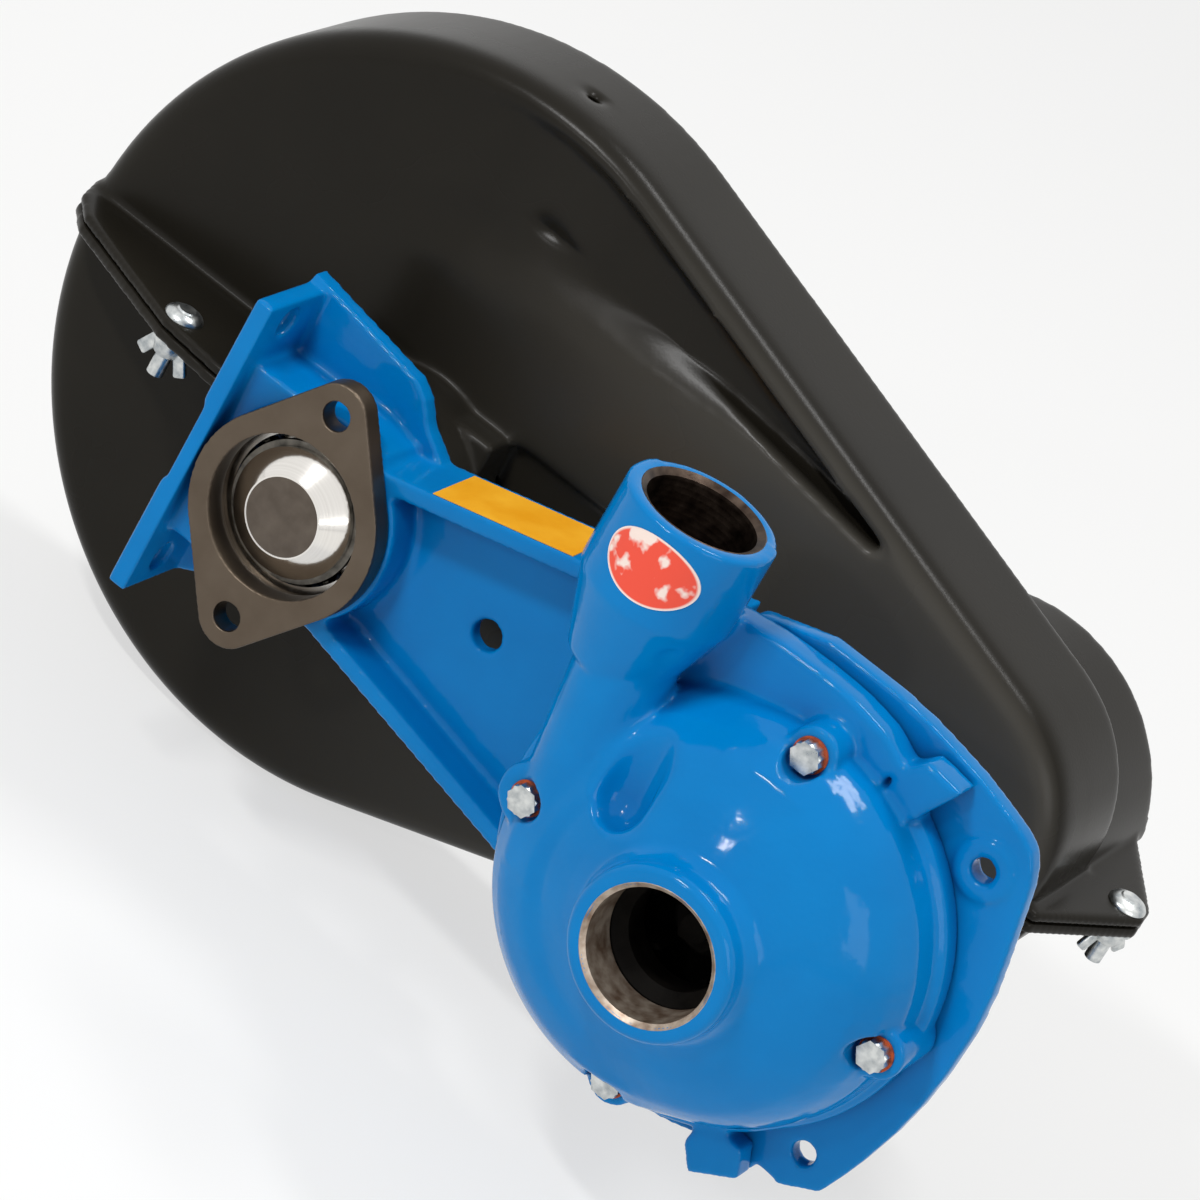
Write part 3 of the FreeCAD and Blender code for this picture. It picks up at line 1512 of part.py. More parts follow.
def guard_solid(inset, cup_r):
    """The guard's outer form, or its inner space where inset is the wall."""
    front = float(d.guard_front) + inset
    back = float(d.guard_back) - inset
    body = prism(hull_face(inset), front, back)
    rim = [e for e in body.Edges if abs(e.BoundBox.YMax - front) < 0.01]
    body = body.makeFillet(float(d.guard_round) - inset, rim)
    cup = Part.makeCylinder(
        float(cup_r) - inset,
        float(d.bulge_back) - inset - back + 10,
        Vector(float(pump_x), back - 10, 0),
        Vector(0, 1, 0),
    )
    body = body.fuse(cup)
    start = float(d.valley_start)
    end = float(d.guard_end_x + d.guard_end_r)
    slope = float(d.valley_slope)
    wedge = [
        Vector(start - inset / slope, front - inset - 1, 0),
        Vector(end, front - inset - 1, 0),
        Vector(end, front + slope * (end - start), 0),
        Vector(start, front, 0),
        Vector(start - inset / slope, front - inset, 0),
    ]
    ramp = Part.Face(Part.makePolygon(wedge + wedge[:1])).extrude(Vector(0, 0, 200))
    crescent = prism(hull_face(float(d.valley_rim) - inset), front - 10, front + 40)
    crescent = crescent.cut(prism(plateau_face(-inset), front - 11, front + 41))
    body = body.cut(crescent.common(ramp))
    low = float(d.recess_low) - inset
    recess = Part.makeBox(
        float(d.recess_right) - float(d.collar_right) + 2 * inset,
        float(d.recess_deep) + 20,
        float(d.collar_top) + inset - low,
        Vector(float(d.collar_right) - inset, front - 20, low),
    )
    body = body.cut(recess)
    collar = Part.makeBox(
        float(d.collar_right) - float(d.collar_left) - 2 * inset,
        float(d.collar_tall) + 2,
        float(d.collar_top) + float(d.collar_low) - 2 * inset,
        Vector(
            float(d.collar_left) + inset,
            front - float(d.collar_tall),
            inset - float(d.collar_low),
        ),
    )
    return body.fuse(collar)


def guard_holes():
    """Everything that passes through the guard's front and rear walls."""
    tools = []
    for x, z, r, start, deep in (
        (0.0, 0.0, float(d.barrel_r) + 0.5, 40, 60),
        (0.0, 0.0, float(d.rear_hole_r), float(d.guard_back) - 20, 60),
        (float(pump_x), 0.0, float(d.pump_barrel_r) + 0.5, 40, 60),
        (float(pivot_x), float(d.pivot_z), float(d.pivot_boss_r) + 0.5, 40, 60),
        (float(d.screw_a_x), float(d.screw_a_z), float(d.guard_screw_r) + 0.5, 60, 30),
        (float(d.screw_b_x), float(d.screw_b_z), float(d.guard_screw_r) + 0.5, 60, 30),
    ):
        tools.append(Part.makeCylinder(r, deep, Vector(x, start, z), Vector(0, 1, 0)))
    top = float(d.guard_z + d.guard_r)
    sight = Vector(float(d.guard_x), float(d.guard_front) + 25, top - 12)
    tools.append(Part.makeCylinder(2.2, 30, sight))
    return tools


def ledge(start, corners):
    """One split flange, a flat plate that reaches out of the shell."""
    wire = Part.makePolygon([Vector(x, y, start) for x, y in corners + corners[:1]])
    return Part.Face(wire).extrude(Vector(0, 0, float(d.ledge_thick)))


def left_ledge_corners():
    front = float(d.guard_front)
    far = float(d.guard_x) - float(d.guard_r)
    bolt_x = float(left_bolt_x)
    bolt_y = float(d.left_bolt_y)
    return [
        (far - 1, front + 50),
        (far - 1, front + 6),
        (far + 3, front - 8),
        (far + 13, front - 19.5),
        (bolt_x - 2, bolt_y - 9),
        (bolt_x + 24, bolt_y - 13),
        (bolt_x + 32, bolt_y - 13),
        (bolt_x + 32, front + 2),
        (far + 12, front + 50),
    ]


def right_ledge_corners():
    edge = float(pump_x) + float(d.bulge_r)
    bolt_x = float(d.right_bolt_x)
    bolt_y = float(d.right_bolt_y)
    return [
        (edge - 12, float(d.guard_front) + 5),
        (bolt_x - 15, float(d.guard_front) + 6),
        (bolt_x + 8.5, bolt_y - 2),
        (bolt_x + 7, bolt_y + 7.5),
        (edge - 6, float(d.bulge_back) - 1),
        (edge - 20, float(d.bulge_back) - 1),
    ]


def guard():
    sleeve = Part.makeCylinder(
        float(d.sleeve_r),
        float(d.guard_front - d.sleeve_front) + 1,
        Vector(0, float(d.sleeve_front), 0),
        Vector(0, 1, 0),
    )
    split = float(d.split_z)
    half_gap = float(d.split_gap) / 2
    thick = float(d.ledge_thick)
    reach = 3 * float(d.guard_r)
    for label, cup_r, low, start in (
        ("guard_upper", d.bulge_r, split + half_gap, split + half_gap),
        ("guard_lower", d.bulge_low_r, split - half_gap - reach, split - half_gap - thick),
    ):
        inside = guard_solid(float(d.guard_wall), cup_r)
        shell = guard_solid(0.0, cup_r).fuse(sleeve).cut(inside)
        keep = Part.makeBox(2 * reach, reach, reach, Vector(-reach, 0, low))
        half = shell.common(keep)
        for corners in (left_ledge_corners(), right_ledge_corners()):
            half = half.fuse(ledge(start, corners).cut(inside))
        holes = guard_holes()
        for x, y in (
            (float(left_bolt_x), float(d.left_bolt_y)),
            (float(d.right_bolt_x), float(d.right_bolt_y)),
        ):
            r = float(d.guard_bolt_r) + 0.3
            holes.append(Part.makeCylinder(r, 40, Vector(x, y, split - 20)))
        node(label, shaped(label, half.cut(Part.Compound(holes)).removeSplitter()))


def wing(x, y, base, heading):
    """One wing of a nut, a strip that leans outwards below its hub."""
    lean = math.radians(30)
    strip = doc.addObject("Part::Box", "wing")
    bind(strip, "Length", d.wing_wide)
    bind(strip, "Width", d.wing_thick)
    bind(strip, "Height", d.wing_long)
    out = 4.5 + d.wing_long * math.sin(lean) - d.wing_wide / 2 * math.cos(lean)
    drop = 2.5 + d.wing_long * math.cos(lean) + d.wing_wide / 2 * math.sin(lean)
    half = d.wing_thick / 2
    c = math.cos(math.radians(heading))
    s = math.sin(math.radians(heading))
    turn = Rotation(Vector(0, 0, 1), heading) * Rotation(Vector(0, 1, 0), -30)
    return place(strip, x + out * c + half * s, y + out * s - half * c, base - drop, turn)


# Guard fasteners: carriage bolts down through the flanges, washers and wing nuts below.
def guard_fasteners():
    top = d.split_z + d.split_gap / 2 + d.ledge_thick
    under = d.split_z - d.split_gap / 2 - d.ledge_thick
    bolts = []
    washers = []
    for side, x, y, heading in (
        ("left", left_bolt_x, d.left_bolt_y, 0),
        ("right", d.right_bolt_x, d.right_bolt_y, 63),
    ):
        head = cone(
            d.guard_head_r,
            d.guard_head_r * 0.45,
            d.guard_head_tall,
            x,
            y,
            top,
            "Z",
        )
        bolts.append(join(head, rod(d.guard_bolt_r, top - under + 16, x, y, under - 16, "Z")))
        washers.append(
            cut(
                rod(7.5, 1.2, x, y, under - 1.2, "Z"),
                rod(d.guard_bolt_r + 0.3, 10, x, y, under - 5, "Z"),
            )
        )
        base = under - 1.2
        wings = [wing(x, y, base, heading), wing(x, y, base, heading + 180)]
        nut = join(cone(4.6, 6.2, 6, x, y, base - 6, "Z"), *wings)
        bore = rod(d.guard_bolt_r + d.running_gap, 40, x, y, base - 30, "Z")
        node(f"wing_nut_{side}", cut(nut, bore))
    node("guard_bolts", group(*bolts))
    node("guard_washers", group(*washers))
    screws = []
    for x, z in ((d.screw_a_x, d.screw_a_z), (d.screw_b_x, d.screw_b_z)):
        inner = d.guard_front + d.guard_wall
        screws.append(
            join(
                rod(d.guard_screw_r, inner - d.boss_back + 10, x, d.boss_back - 10, z),
                hexagon(8, 3.5, x, inner, z),
                rod(6, 1, x, inner, z),
            )
        )
    node("guard_screws", group(*screws))


# Labels: a plain amber plate on the arm's upper flange and an oval one on the outlet boss.
def labels():
    lean = math.degrees(math.atan2(float(d.arm_top_rise), float(d.arm_end - d.arm_start)))
    plate = doc.addObject("Part::Box", "plate")
    bind(plate, "Length", d.label_long)
    bind(plate, "Width", d.label_wide)
    bind(plate, "Height", d.label_thick)
    slope = d.arm_top_rise / (d.arm_end - d.arm_start)
    z = d.arm_top_z + slope * (d.label_left - d.arm_start)
    place(plate, d.label_left, d.lip_front + 1.5, z, Rotation(Vector(0, 1, 0), -lean))
    node("arm_label", plate)
    centre = Vector(float(pump_x - d.outlet_x), float(d.outlet_y), float(d.sticker_z))
    below = centre - Vector(0, 0, 30)
    shell = Part.makeCylinder(float(d.outlet_boss_r + d.label_thick), 60, below)
    core = Part.makeCylinder(float(d.outlet_boss_r), 60, below)
    oval = Part.Ellipse(Vector(), float(d.sticker_half_wide), float(d.sticker_half_tall)).toShape()
    stamp = Part.Face(Part.Wire(oval)).extrude(Vector(0, 0, 60))
    stamp.rotate(Vector(), Vector(1, 0, 0), 90)
    stamp.translate(centre + Vector(float(d.sticker_right), 0, 0))
    node("outlet_label", shaped("outlet_label", shell.cut(core).common(stamp)))


frame_casting()
volute_casing()
casing_bolts()
casing_ring()
impeller()
seal()
pump_shaft()
bearings()
pump_ring_start = d.pump_bearing_back + d.pump_bearing_wide
drive_ring_start = d.drive_bearing_back + d.drive_bearing_wide
snap_ring("pump_snap_ring", pump_x, d.pump_bearing_out_r, pump_ring_start)
snap_ring("drive_snap_ring", as_size(0), d.drive_bearing_out_r, drive_ring_start)
bearing_flange()
drive_shaft()
coupler()
drive_pulley()
pump_pulley()
drive_belt()
tensioner()
guard()
guard_fasteners()
labels()

doc.recompute()
faults = [f"{o.Label}: {o.State}" for o in doc.Objects if {"Invalid", "Error"} & set(o.State)]
for thing in nodes:
    if thing.Shape.isNull() or not thing.Shape.isValid():
        faults.append(f"{thing.Label}: shape")
if faults:
    raise RuntimeError("; ".join(faults))

os.makedirs("parts", exist_ok=True)
for thing in nodes:
    thing.Shape.exportStep(f"parts/{thing.Label}.step")
    count = len(thing.Shape.Solids)
    print(thing.Label, count, round(thing.Shape.Volume, 1))
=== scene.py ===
import math
import numpy

import bpy
from mathutils import Matrix, Vector


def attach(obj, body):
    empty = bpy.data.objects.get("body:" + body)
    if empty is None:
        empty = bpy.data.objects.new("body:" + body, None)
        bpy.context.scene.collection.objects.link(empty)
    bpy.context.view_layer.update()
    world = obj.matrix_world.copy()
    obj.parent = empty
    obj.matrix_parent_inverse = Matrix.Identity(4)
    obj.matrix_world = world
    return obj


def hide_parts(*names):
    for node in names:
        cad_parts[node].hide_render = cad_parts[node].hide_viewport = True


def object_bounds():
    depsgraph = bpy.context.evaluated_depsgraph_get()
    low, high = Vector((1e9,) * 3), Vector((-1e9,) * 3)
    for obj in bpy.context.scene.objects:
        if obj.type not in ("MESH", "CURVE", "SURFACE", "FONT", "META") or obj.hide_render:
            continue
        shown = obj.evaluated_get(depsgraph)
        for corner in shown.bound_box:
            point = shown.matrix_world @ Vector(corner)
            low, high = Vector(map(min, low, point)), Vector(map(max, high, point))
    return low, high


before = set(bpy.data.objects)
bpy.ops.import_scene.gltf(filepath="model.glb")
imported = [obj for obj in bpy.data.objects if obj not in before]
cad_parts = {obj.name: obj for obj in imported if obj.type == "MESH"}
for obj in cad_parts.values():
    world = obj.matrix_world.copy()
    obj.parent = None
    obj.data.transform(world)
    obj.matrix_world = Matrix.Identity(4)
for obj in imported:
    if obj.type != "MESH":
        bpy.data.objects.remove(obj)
cad_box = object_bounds()

# Frame casting: the pump plate, arm, drive housing, mounting plate and both bearing barrels.
# It is grey iron poured in a sand mould, so its edges are soft and its faces a little wavy,
# sprayed all over with a thick gloss enamel.
MM = 0.001
PUMP_X = 211
BOLT_RING = 70.9
FORWARD = Vector((0, -1, 0))
UP = Vector((0, 0, 1))


def alone(piece):
    """Leaves only this piece selected and active."""
    if bpy.context.object and bpy.context.object.mode != "OBJECT":
        bpy.ops.object.mode_set(mode="OBJECT")
    bpy.ops.object.select_all(action="DESELECT")
    if piece:
        bpy.context.view_layer.objects.active = piece
        piece.select_set(True)


def worked(piece, kind, **settings):
    """Adds one modifier to a piece and applies it."""
    alone(piece)
    step = piece.modifiers.new(kind.lower(), kind)
    for name, value in settings.items():
        setattr(step, name, value)
    bpy.ops.object.modifier_apply(modifier=step.name)
    return piece


def copied(name, node):
    """A merged copy of a CAD node's mesh, with no material yet."""
    piece = bpy.data.objects.new(name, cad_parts[node].data.copy())
    bpy.context.scene.collection.objects.link(piece)
    piece.data.materials.clear()
    alone(piece)
    bpy.ops.object.mode_set(mode="EDIT")
    bpy.ops.mesh.select_all(action="SELECT")
    bpy.ops.mesh.remove_doubles(threshold=0.000002)
    bpy.ops.object.mode_set(mode="OBJECT")
    if piece.data.has_custom_normals:
        bpy.ops.mesh.customdata_custom_splitnormals_clear()
    return piece


def as_moulded(name, node, grain, softening, triangles):
    """A copy whose edges are rounded as sand or a mould leaves them."""
    piece = copied(name, node)
    worked(piece, "REMESH", mode="VOXEL", voxel_size=grain, use_smooth_shade=True)
    worked(piece, "SMOOTH", factor=0.5, iterations=softening)
    count = 2 * len(piece.data.polygons)
    if count > triangles:
        worked(piece, "DECIMATE", ratio=triangles / count)
    bpy.ops.object.shade_smooth()
    return piece


def settled(piece, label, chosen, passes):
    """Smooths the chosen region of a piece, as a soft mould or thick paint does."""
    region = piece.vertex_groups.new(name=label)
    region.add([v.index for v in piece.data.vertices if chosen(v.co)], 1.0, "REPLACE")
    worked(piece, "SMOOTH", factor=0.5, iterations=passes, vertex_group=label)


def linear(hex_colour):
    """An sRGB hex colour as Blender's linear RGBA."""
    parts = [int(hex_colour[i:i + 2], 16) / 255 for i in (1, 3, 5)]
    lit = [c / 12.92 if c <= 0.04045 else ((c + 0.055) / 1.055) ** 2.4 for c in parts]
    return (*lit, 1.0)


def add(material, kind, sockets=None, **settings):
    """Adds one shader node with its settings, values and links."""
    node = material.node_tree.nodes.new("ShaderNode" + kind)
    for name, value in settings.items():
        setattr(node, name, value)
    for key, value in (sockets or {}).items():
        if isinstance(value, bpy.types.NodeSocket):
            material.node_tree.links.new(value, node.inputs[key])
        else:
            node.inputs[key].default_value = value
    return node


def finish_of(name, **sockets):
    """A new material and the sockets of its shader, with the object's coordinates."""
    material = bpy.data.materials.new(name)
    material.use_nodes = True
    shader = material.node_tree.nodes["Principled BSDF"]
    for key, value in sockets.items():
        shader.inputs[key.replace("_", " ")].default_value = value
    place = add(material, "TexCoord").outputs["Object"]
    return material, shader, place


def joined(material, shader, socket, value):
    """Links a value to one socket of the shader."""
    material.node_tree.links.new(value, shader.inputs[socket])


def mixed(material, share, one, two):
    """A colour between two others, by a share from 0 to 1."""
    node = add(material, "Mix", {0: share, 6: one, 7: two}, data_type="RGBA")
    return node.outputs[2]


def ranged(material, value, low, high, start=0.0, end=1.0):
    """A value carried from start and end to low and high, and held there."""
    sockets = {"Value": value, "From Min": start, "From Max": end}
    node = add(material, "MapRange", {**sockets, "To Min": low, "To Max": high})
    return node.outputs["Result"]


def seen_share(material):
    """1 for rays that show the background, and 0 for those that light the object."""
    eye = add(material, "LightPath")
    seen = add(
        material,
        "Math",
        {0: eye.outputs["Is Camera Ray"], 1: eye.outputs["Is Glossy Ray"]},
        operation="MAXIMUM",
    )
    through = add(
        material,
        "Math",
        {0: seen.outputs["Value"], 1: eye.outputs["Is Transmission Ray"]},
        operation="MAXIMUM",
    )
    return through.outputs["Value"]


def mottled(name, scale, dark, light, smooth, rough, grain, **sockets):
    """A material whose colour, polish and surface all drift between two states."""
    material, shader, place = finish_of(name, **sockets)
    cloud = add(material, "TexNoise", {"Vector": place, "Scale": scale, "Detail": 5.0})
    share = ranged(material, cloud.outputs["Fac"], 0.0, 1.0, 0.32, 0.68)
    joined(material, shader, "Base Color", mixed(material, share, linear(dark), linear(light)))
    polish = ranged(material, cloud.outputs["Fac"], smooth, rough)
    joined(material, shader, "Roughness", polish)
    fine = add(material, "TexNoise", {"Vector": place, "Scale": scale * 6, "Detail": 3.0})
    relief = add(
        material,
        "Bump",
        {"Height": fine.outputs["Fac"], "Strength": 0.3, "Distance": grain * MM},
    )
    joined(material, shader, "Normal", relief.outputs["Normal"])
    return material


def finished(material, *nodes):
    """Gives CAD nodes their material."""
    for name in nodes:
        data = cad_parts[name].data
        data.materials.clear()
        data.materials.append(material)


# Gloss enamel over sand-cast iron: two coats sprayed on, which flow into a hard wet shine.
# The iron's sand grain still shows as a slow waviness, and the film as fine orange peel.
# Inside corners and crevices are painted darker navy as shade.
enamel, shader, place = finish_of(
    "gloss_enamel_on_cast_iron",
    Roughness=0.1,
    Specular_IOR_Level=0.14,
)
patches = add(enamel, "TexNoise", {"Vector": place, "Scale": 28.0, "Detail": 3.0})
tone = mixed(enamel, patches.outputs["Fac"], linear("#006DB0"), linear("#0080C6"))
# Painted shade: ambient occlusion turns the blue towards navy in inside corners.
corner = add(enamel, "AmbientOcclusion", {"Distance": 0.014}, samples=8)
depth = ranged(enamel, corner.outputs["AO"], 0.0, 1.0, 0.1, 0.75)
joined(enamel, shader, "Base Color", mixed(enamel, depth, linear("#0D4484"), tone))
waves = add(enamel, "TexNoise", {"Vector": place, "Scale": 110.0, "Detail": 2.0})
swell = add(
    enamel,
    "Bump",
    {"Height": waves.outputs["Fac"], "Strength": 0.3, "Distance": 0.0008},
)
peel = add(enamel, "TexNoise", {"Vector": place, "Scale": 700.0, "Detail": 1.0})
skin = add(
    enamel,
    "Bump",
    {
        "Height": peel.outputs["Fac"],
        "Strength": 0.2,
        "Distance": 0.0001,
        "Normal": swell.outputs["Normal"],
    },
)
joined(enamel, shader, "Normal", skin.outputs["Normal"])

casting = as_moulded("frame_casting_body", "frame_casting", 0.0011, 9, 190000)
casting.data.materials.append(enamel)
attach(casting, "frame")
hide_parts("frame_casting")

# Volute casing: the domed front half of the pump, one iron casting with its two ports.
# It is moulded and painted like the frame.
volute = as_moulded("volute_casing_body", "volute_casing", 0.001, 9, 190000)


def is_dome(point):
    """Whether a point lies on the open dome, clear of the neck and the bolt bosses."""
    across, up = point.x - PUMP_X * MM, point.z
    ring = BOLT_RING * MM
    bosses = [math.hypot(across - a, up - b) for a, b in ((ring, 0), (0, ring), (0, -ring))]
    clear = min(bosses) > 0.014 and (across > -0.034 or up < -0.022)
    return clear and 0.036 < math.hypot(across, up) < 0.072 and point.y < -0.03


def is_hollow(point):
    """Whether a point lies in the hollow between the neck and the dome."""
    return math.hypot(point.x - 0.17, (point.z - 0.048) * 0.6) < 0.02 and point.y < -0.038


def is_shelf(point):
    """Whether a point lies on the flange's raised shelf beside the outlet."""
    reach = math.hypot(point.x - PUMP_X * MM, point.z)
    return point.y > -0.024 and reach > 0.079 and point.z > 0.03 and point.x < 0.262


settled(volute, "dome", is_dome, 90)
settled(volute, "hollow", is_hollow, 50)
settled(volute, "shelf", is_shelf, 30)
volute.data.materials.append(enamel)
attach(volute, "frame")
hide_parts("volute_casing")



def turned(name, points, centre, way, steps=96):
    """A lathe piece. Points are (radius, distance along the axis) in mm."""
    alone(None)
    spin = way.to_track_quat("Z", "Y")
    centre = Vector(centre) * MM
    radius, station = points[0]
    bpy.ops.mesh.primitive_circle_add(
        vertices=steps,
        radius=radius * MM,
        location=centre + way * station * MM,
        rotation=spin.to_euler(),
    )
    piece = bpy.context.object
    piece.name = name
    bpy.ops.object.transform_apply(location=True, rotation=True, scale=True)
    bpy.ops.object.mode_set(mode="EDIT")
    bpy.ops.mesh.select_all(action="SELECT")
    across = Vector((1, 1, 1)) - Vector([abs(c) for c in way])
    for before, after in zip(points, points[1:]):
        step = way * (after[1] - before[1]) * MM
        bpy.ops.mesh.extrude_region_move(TRANSFORM_OT_translate={"value": step})
        share = after[0] / before[0]
        size = [share if c > 0.5 else 1.0 for c in across]
        bpy.ops.transform.resize(value=size, center_override=centre)
    bpy.ops.mesh.select_all(action="SELECT")
    bpy.ops.mesh.remove_doubles(threshold=0.000005)
    bpy.ops.mesh.normals_make_consistent(inside=False)
    bpy.ops.object.mode_set(mode="OBJECT")
    return piece


def smoothed(piece, angle=35):
    """Shades a piece smooth, keeping its sharp edges."""
    alone(piece)
    bpy.ops.object.shade_smooth_by_angle(angle=math.radians(angle))
    return piece


# Cut cast iron: dark grey-brown metal, dull where the coolant dried and flash rust began.
raw_iron = mottled(
    "cut_cast_iron", 220.0, "#7C6655", "#BBAE9F", 0.32, 0.48, 0.04, Metallic=0.6
)
# Threaded iron: the same metal, painted darker and duller as the shade inside the outlet port.
shade_dark_threaded_iron = mottled(
    "threaded_iron_dark_as_shade", 200.0, "#2E2520", "#54483F", 0.3, 0.5, 0.05, Metallic=1.0
)


def lined(name, points, centre, way, iron):
    """A thin bare sleeve that lines a port, drawn from its mouth inwards."""
    sleeve = smoothed(turned(name, points + points[:1], centre, way), 25)
    sleeve.data.materials.append(iron)
    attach(sleeve, "frame")
    return sleeve


# Shade iron: almost black, painted as the deep shade inside the pump.
shade_black_iron = mottled(
    "iron_painted_black_as_shade", 150.0, "#060504", "#12100E", 0.5, 0.7, 0.2, Specular_IOR_Level=0.05
)

# Suction port: bare iron bored smooth after painting, left unpainted, with a step down to
# the narrower passage behind it, painted black as the shade inside.
SUCTION = (PUMP_X, -77.3, 0)
lined(
    "suction_lining",
    [(24.6, -0.1), (22.9, -1.5), (22.9, -18.4), (24.2, -18.4), (24.3, -1.8), (25.2, -0.4)],
    SUCTION,
    FORWARD,
    raw_iron,
)
lined(
    "eye_lining",
    [(22.8, -18.0), (22.8, -19.0), (18.5, -23.0), (18.5, -26.9), (20.5, -26.9), (24.2, -19.0)],
    SUCTION,
    FORWARD,
    shade_black_iron,
)

# Outlet port: the first rings of its pipe thread, worn shallow, then the plain throat.
THREAD_PITCH = 2.3
THREAD_TOP = -1.8
ROOT_R = 20.05
CREST_R = 19.93
OUTLET = (138.6, -33.2, 117.6)
mouth = [(22.4, -0.1), (ROOT_R, THREAD_TOP)]
for turn in range(8):
    start = THREAD_TOP - THREAD_PITCH * turn
    mouth.append((CREST_R, start - THREAD_PITCH * 0.45))
    mouth.append((CREST_R, start - THREAD_PITCH * 0.6))
    mouth.append((ROOT_R, start - THREAD_PITCH))
mouth += [(19.9, -23.5), (9.8, -37.6), (11.4, -38.6), (21.4, -24.6), (21.4, -2.4), (22.9, -0.4)]
# Painted shade: the whole outlet lining takes the dark threaded iron.
lined("outlet_lining", mouth, OUTLET, UP, shade_dark_threaded_iron)

# Casing bolts: four zinc-plated hex bolts, their heads chamfered like any forged bolt.
# Each head sits on its boss with a washer under it.
# Zinc plate: bright bluish silver, a little cloudy where it has whitened.
zinc = mottled("zinc_plated_steel", 300.0, "#9DA3A6", "#D6D8D6", 0.2, 0.42, 0.06, Metallic=1.0)


def hex_head(name, centre, way, flats, tall):
    """A chamfered hex head that stands on its centre point."""
    centre = Vector(centre)
    r = flats / math.sqrt(3)
    alone(None)
    bpy.ops.mesh.primitive_cylinder_add(
        vertices=6,
        radius=r * MM,
        depth=tall * MM,
        location=(centre + way * tall / 2) * MM,
        rotation=way.to_track_quat("Z", "Y").to_euler(),
    )
    head = bpy.context.object
    head.name = name
    bpy.ops.object.transform_apply(location=True, rotation=True, scale=True)
    profile = [
        (0.01, -1),
        (r + 1, -1),
        (r + 1, tall - 1.1),
        (flats * 0.46, tall),
        (0.01, tall),
    ]
    dome = turned("chamfer", profile, centre, way, 64)
    worked(head, "BOOLEAN", operation="INTERSECT", object=dome, solver="EXACT")
    bpy.data.objects.remove(dome)
    worked(head, "BEVEL", width=0.25 * MM, segments=2, limit_method="ANGLE", angle_limit=0.5)
    return smoothed(head, 30)


HEAD_FRONT = 33.3
HEAD_FRONT_LEFT = 45.3
HEAD_FLATS = 10.0
HEAD_TALL = 4.2
for label, angle in (("right", 0), ("top", 90), ("left", 180), ("bottom", 270)):
    front = HEAD_FRONT_LEFT if label == "left" else HEAD_FRONT
    spot = (
        PUMP_X + BOLT_RING * math.cos(math.radians(angle)),
        -front,
        BOLT_RING * math.sin(math.radians(angle)),
    )
    head = hex_head(f"casing_bolt_head_{label}", spot, FORWARD, HEAD_FLATS, HEAD_TALL)
    head.data.materials.append(zinc)
    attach(head, "frame")
finished(zinc, "casing_bolts")

# Casing washers: plain steel that rain has turned orange.
# Rust: matt, crumbly, from dark brown to bright orange.
rust = mottled("orange_rusted_steel", 400.0, "#6E2A14", "#C4521E", 0.6, 0.9, 0.3)
finished(rust, "casing_washers")

# Sealing pieces inside the casing: O-ring, stationary ceramic ring, carbon head and spring.
# Nitrile rubber: black, slightly greasy.
nitrile = mottled("black_nitrile_rubber", 200.0, "#121212", "#1E1E1D", 0.45, 0.65, 0.05)
finished(nitrile, "casing_o_ring")
# Seal ceramic: dense off-white alumina, lapped smooth.
alumina = mottled("white_alumina", 150.0, "#D9D5C8", "#E6E3DA", 0.25, 0.4, 0.02)
finished(alumina, "seal_seat")
# Carbon: grey-black pressed graphite, dull.
carbon = mottled("pressed_carbon", 250.0, "#1B1B1C", "#2E2E30", 0.4, 0.6, 0.04)
finished(carbon, "seal_head")
# Spring steel: drawn wire and stamped rings, blue-black from hardening.
spring_wire = mottled(
    "hardened_spring_steel", 240.0, "#45433F", "#77736C", 0.3, 0.5, 0.05, Metallic=1.0
)
finished(spring_wire, "seal_spring", "tensioner_spring", "coupler_spring")
finished(spring_wire, "pump_snap_ring", "drive_snap_ring", "coupler_ring")

# Impeller and pulleys: grey iron castings, machined only where they run.
# Bare cast iron: dark grey and matt, with a coarse sand skin.
bare_iron = mottled("bare_cast_iron", 180.0, "#2E2B28", "#5A5550", 0.45, 0.7, 0.3, Metallic=1.0)
finished(bare_iron, "drive_pulley", "pump_pulley")
finished(zinc, "pulley_set_screw", "pivot_bolt", "idler_bolt")
# Impeller, its nut and the pump shaft are painted near-black as the shade inside the casing.
finished(shade_black_iron, "impeller", "impeller_nut", "pump_shaft")

# Bearings, keys and ground pieces: bright hard steel.
# Ground steel: pale, nearly mirror bright, with faint oil clouds.
ground = mottled("ground_steel", 120.0, "#A8A6A2", "#CBC9C4", 0.14, 0.3, 0.02, Metallic=1.0)
finished(ground, *[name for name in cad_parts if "_bearing_" in name])
finished(ground, "pump_key", "drive_key", "coupler_balls", "idler_pulley")
finished(ground, "coupler_collar")

# Bearing flange: a pressed and machined two-bolt steel plate, oiled rather than painted.
# Its rim is rolled and the opening has a soft raised lip.
# Oiled dark steel: warm brown-grey, satin, with faint smears left by the oil.
oiled_steel, shader, place = finish_of("oiled_dark_steel", Metallic=1.0, Roughness=0.42)
smears = add(oiled_steel, "TexNoise", {"Vector": place, "Scale": 60.0, "Detail": 6.0})
steel_tone = mixed(oiled_steel, smears.outputs["Fac"], linear("#53483D"), linear("#6E6357"))
joined(oiled_steel, shader, "Base Color", steel_tone)
joined(oiled_steel, shader, "Roughness", ranged(oiled_steel, smears.outputs["Fac"], 0.34, 0.52))
pits = add(oiled_steel, "TexNoise", {"Vector": place, "Scale": 900.0, "Detail": 2.0})
pitting = add(
    oiled_steel,
    "Bump",
    {"Height": pits.outputs["Fac"], "Strength": 0.2, "Distance": 0.0001},
)
joined(oiled_steel, shader, "Normal", pitting.outputs["Normal"])

flange = as_moulded("bearing_flange_body", "bearing_flange", 0.0006, 5, 120000)
flange.data.materials.append(oiled_steel)
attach(flange, "frame")
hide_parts("bearing_flange")

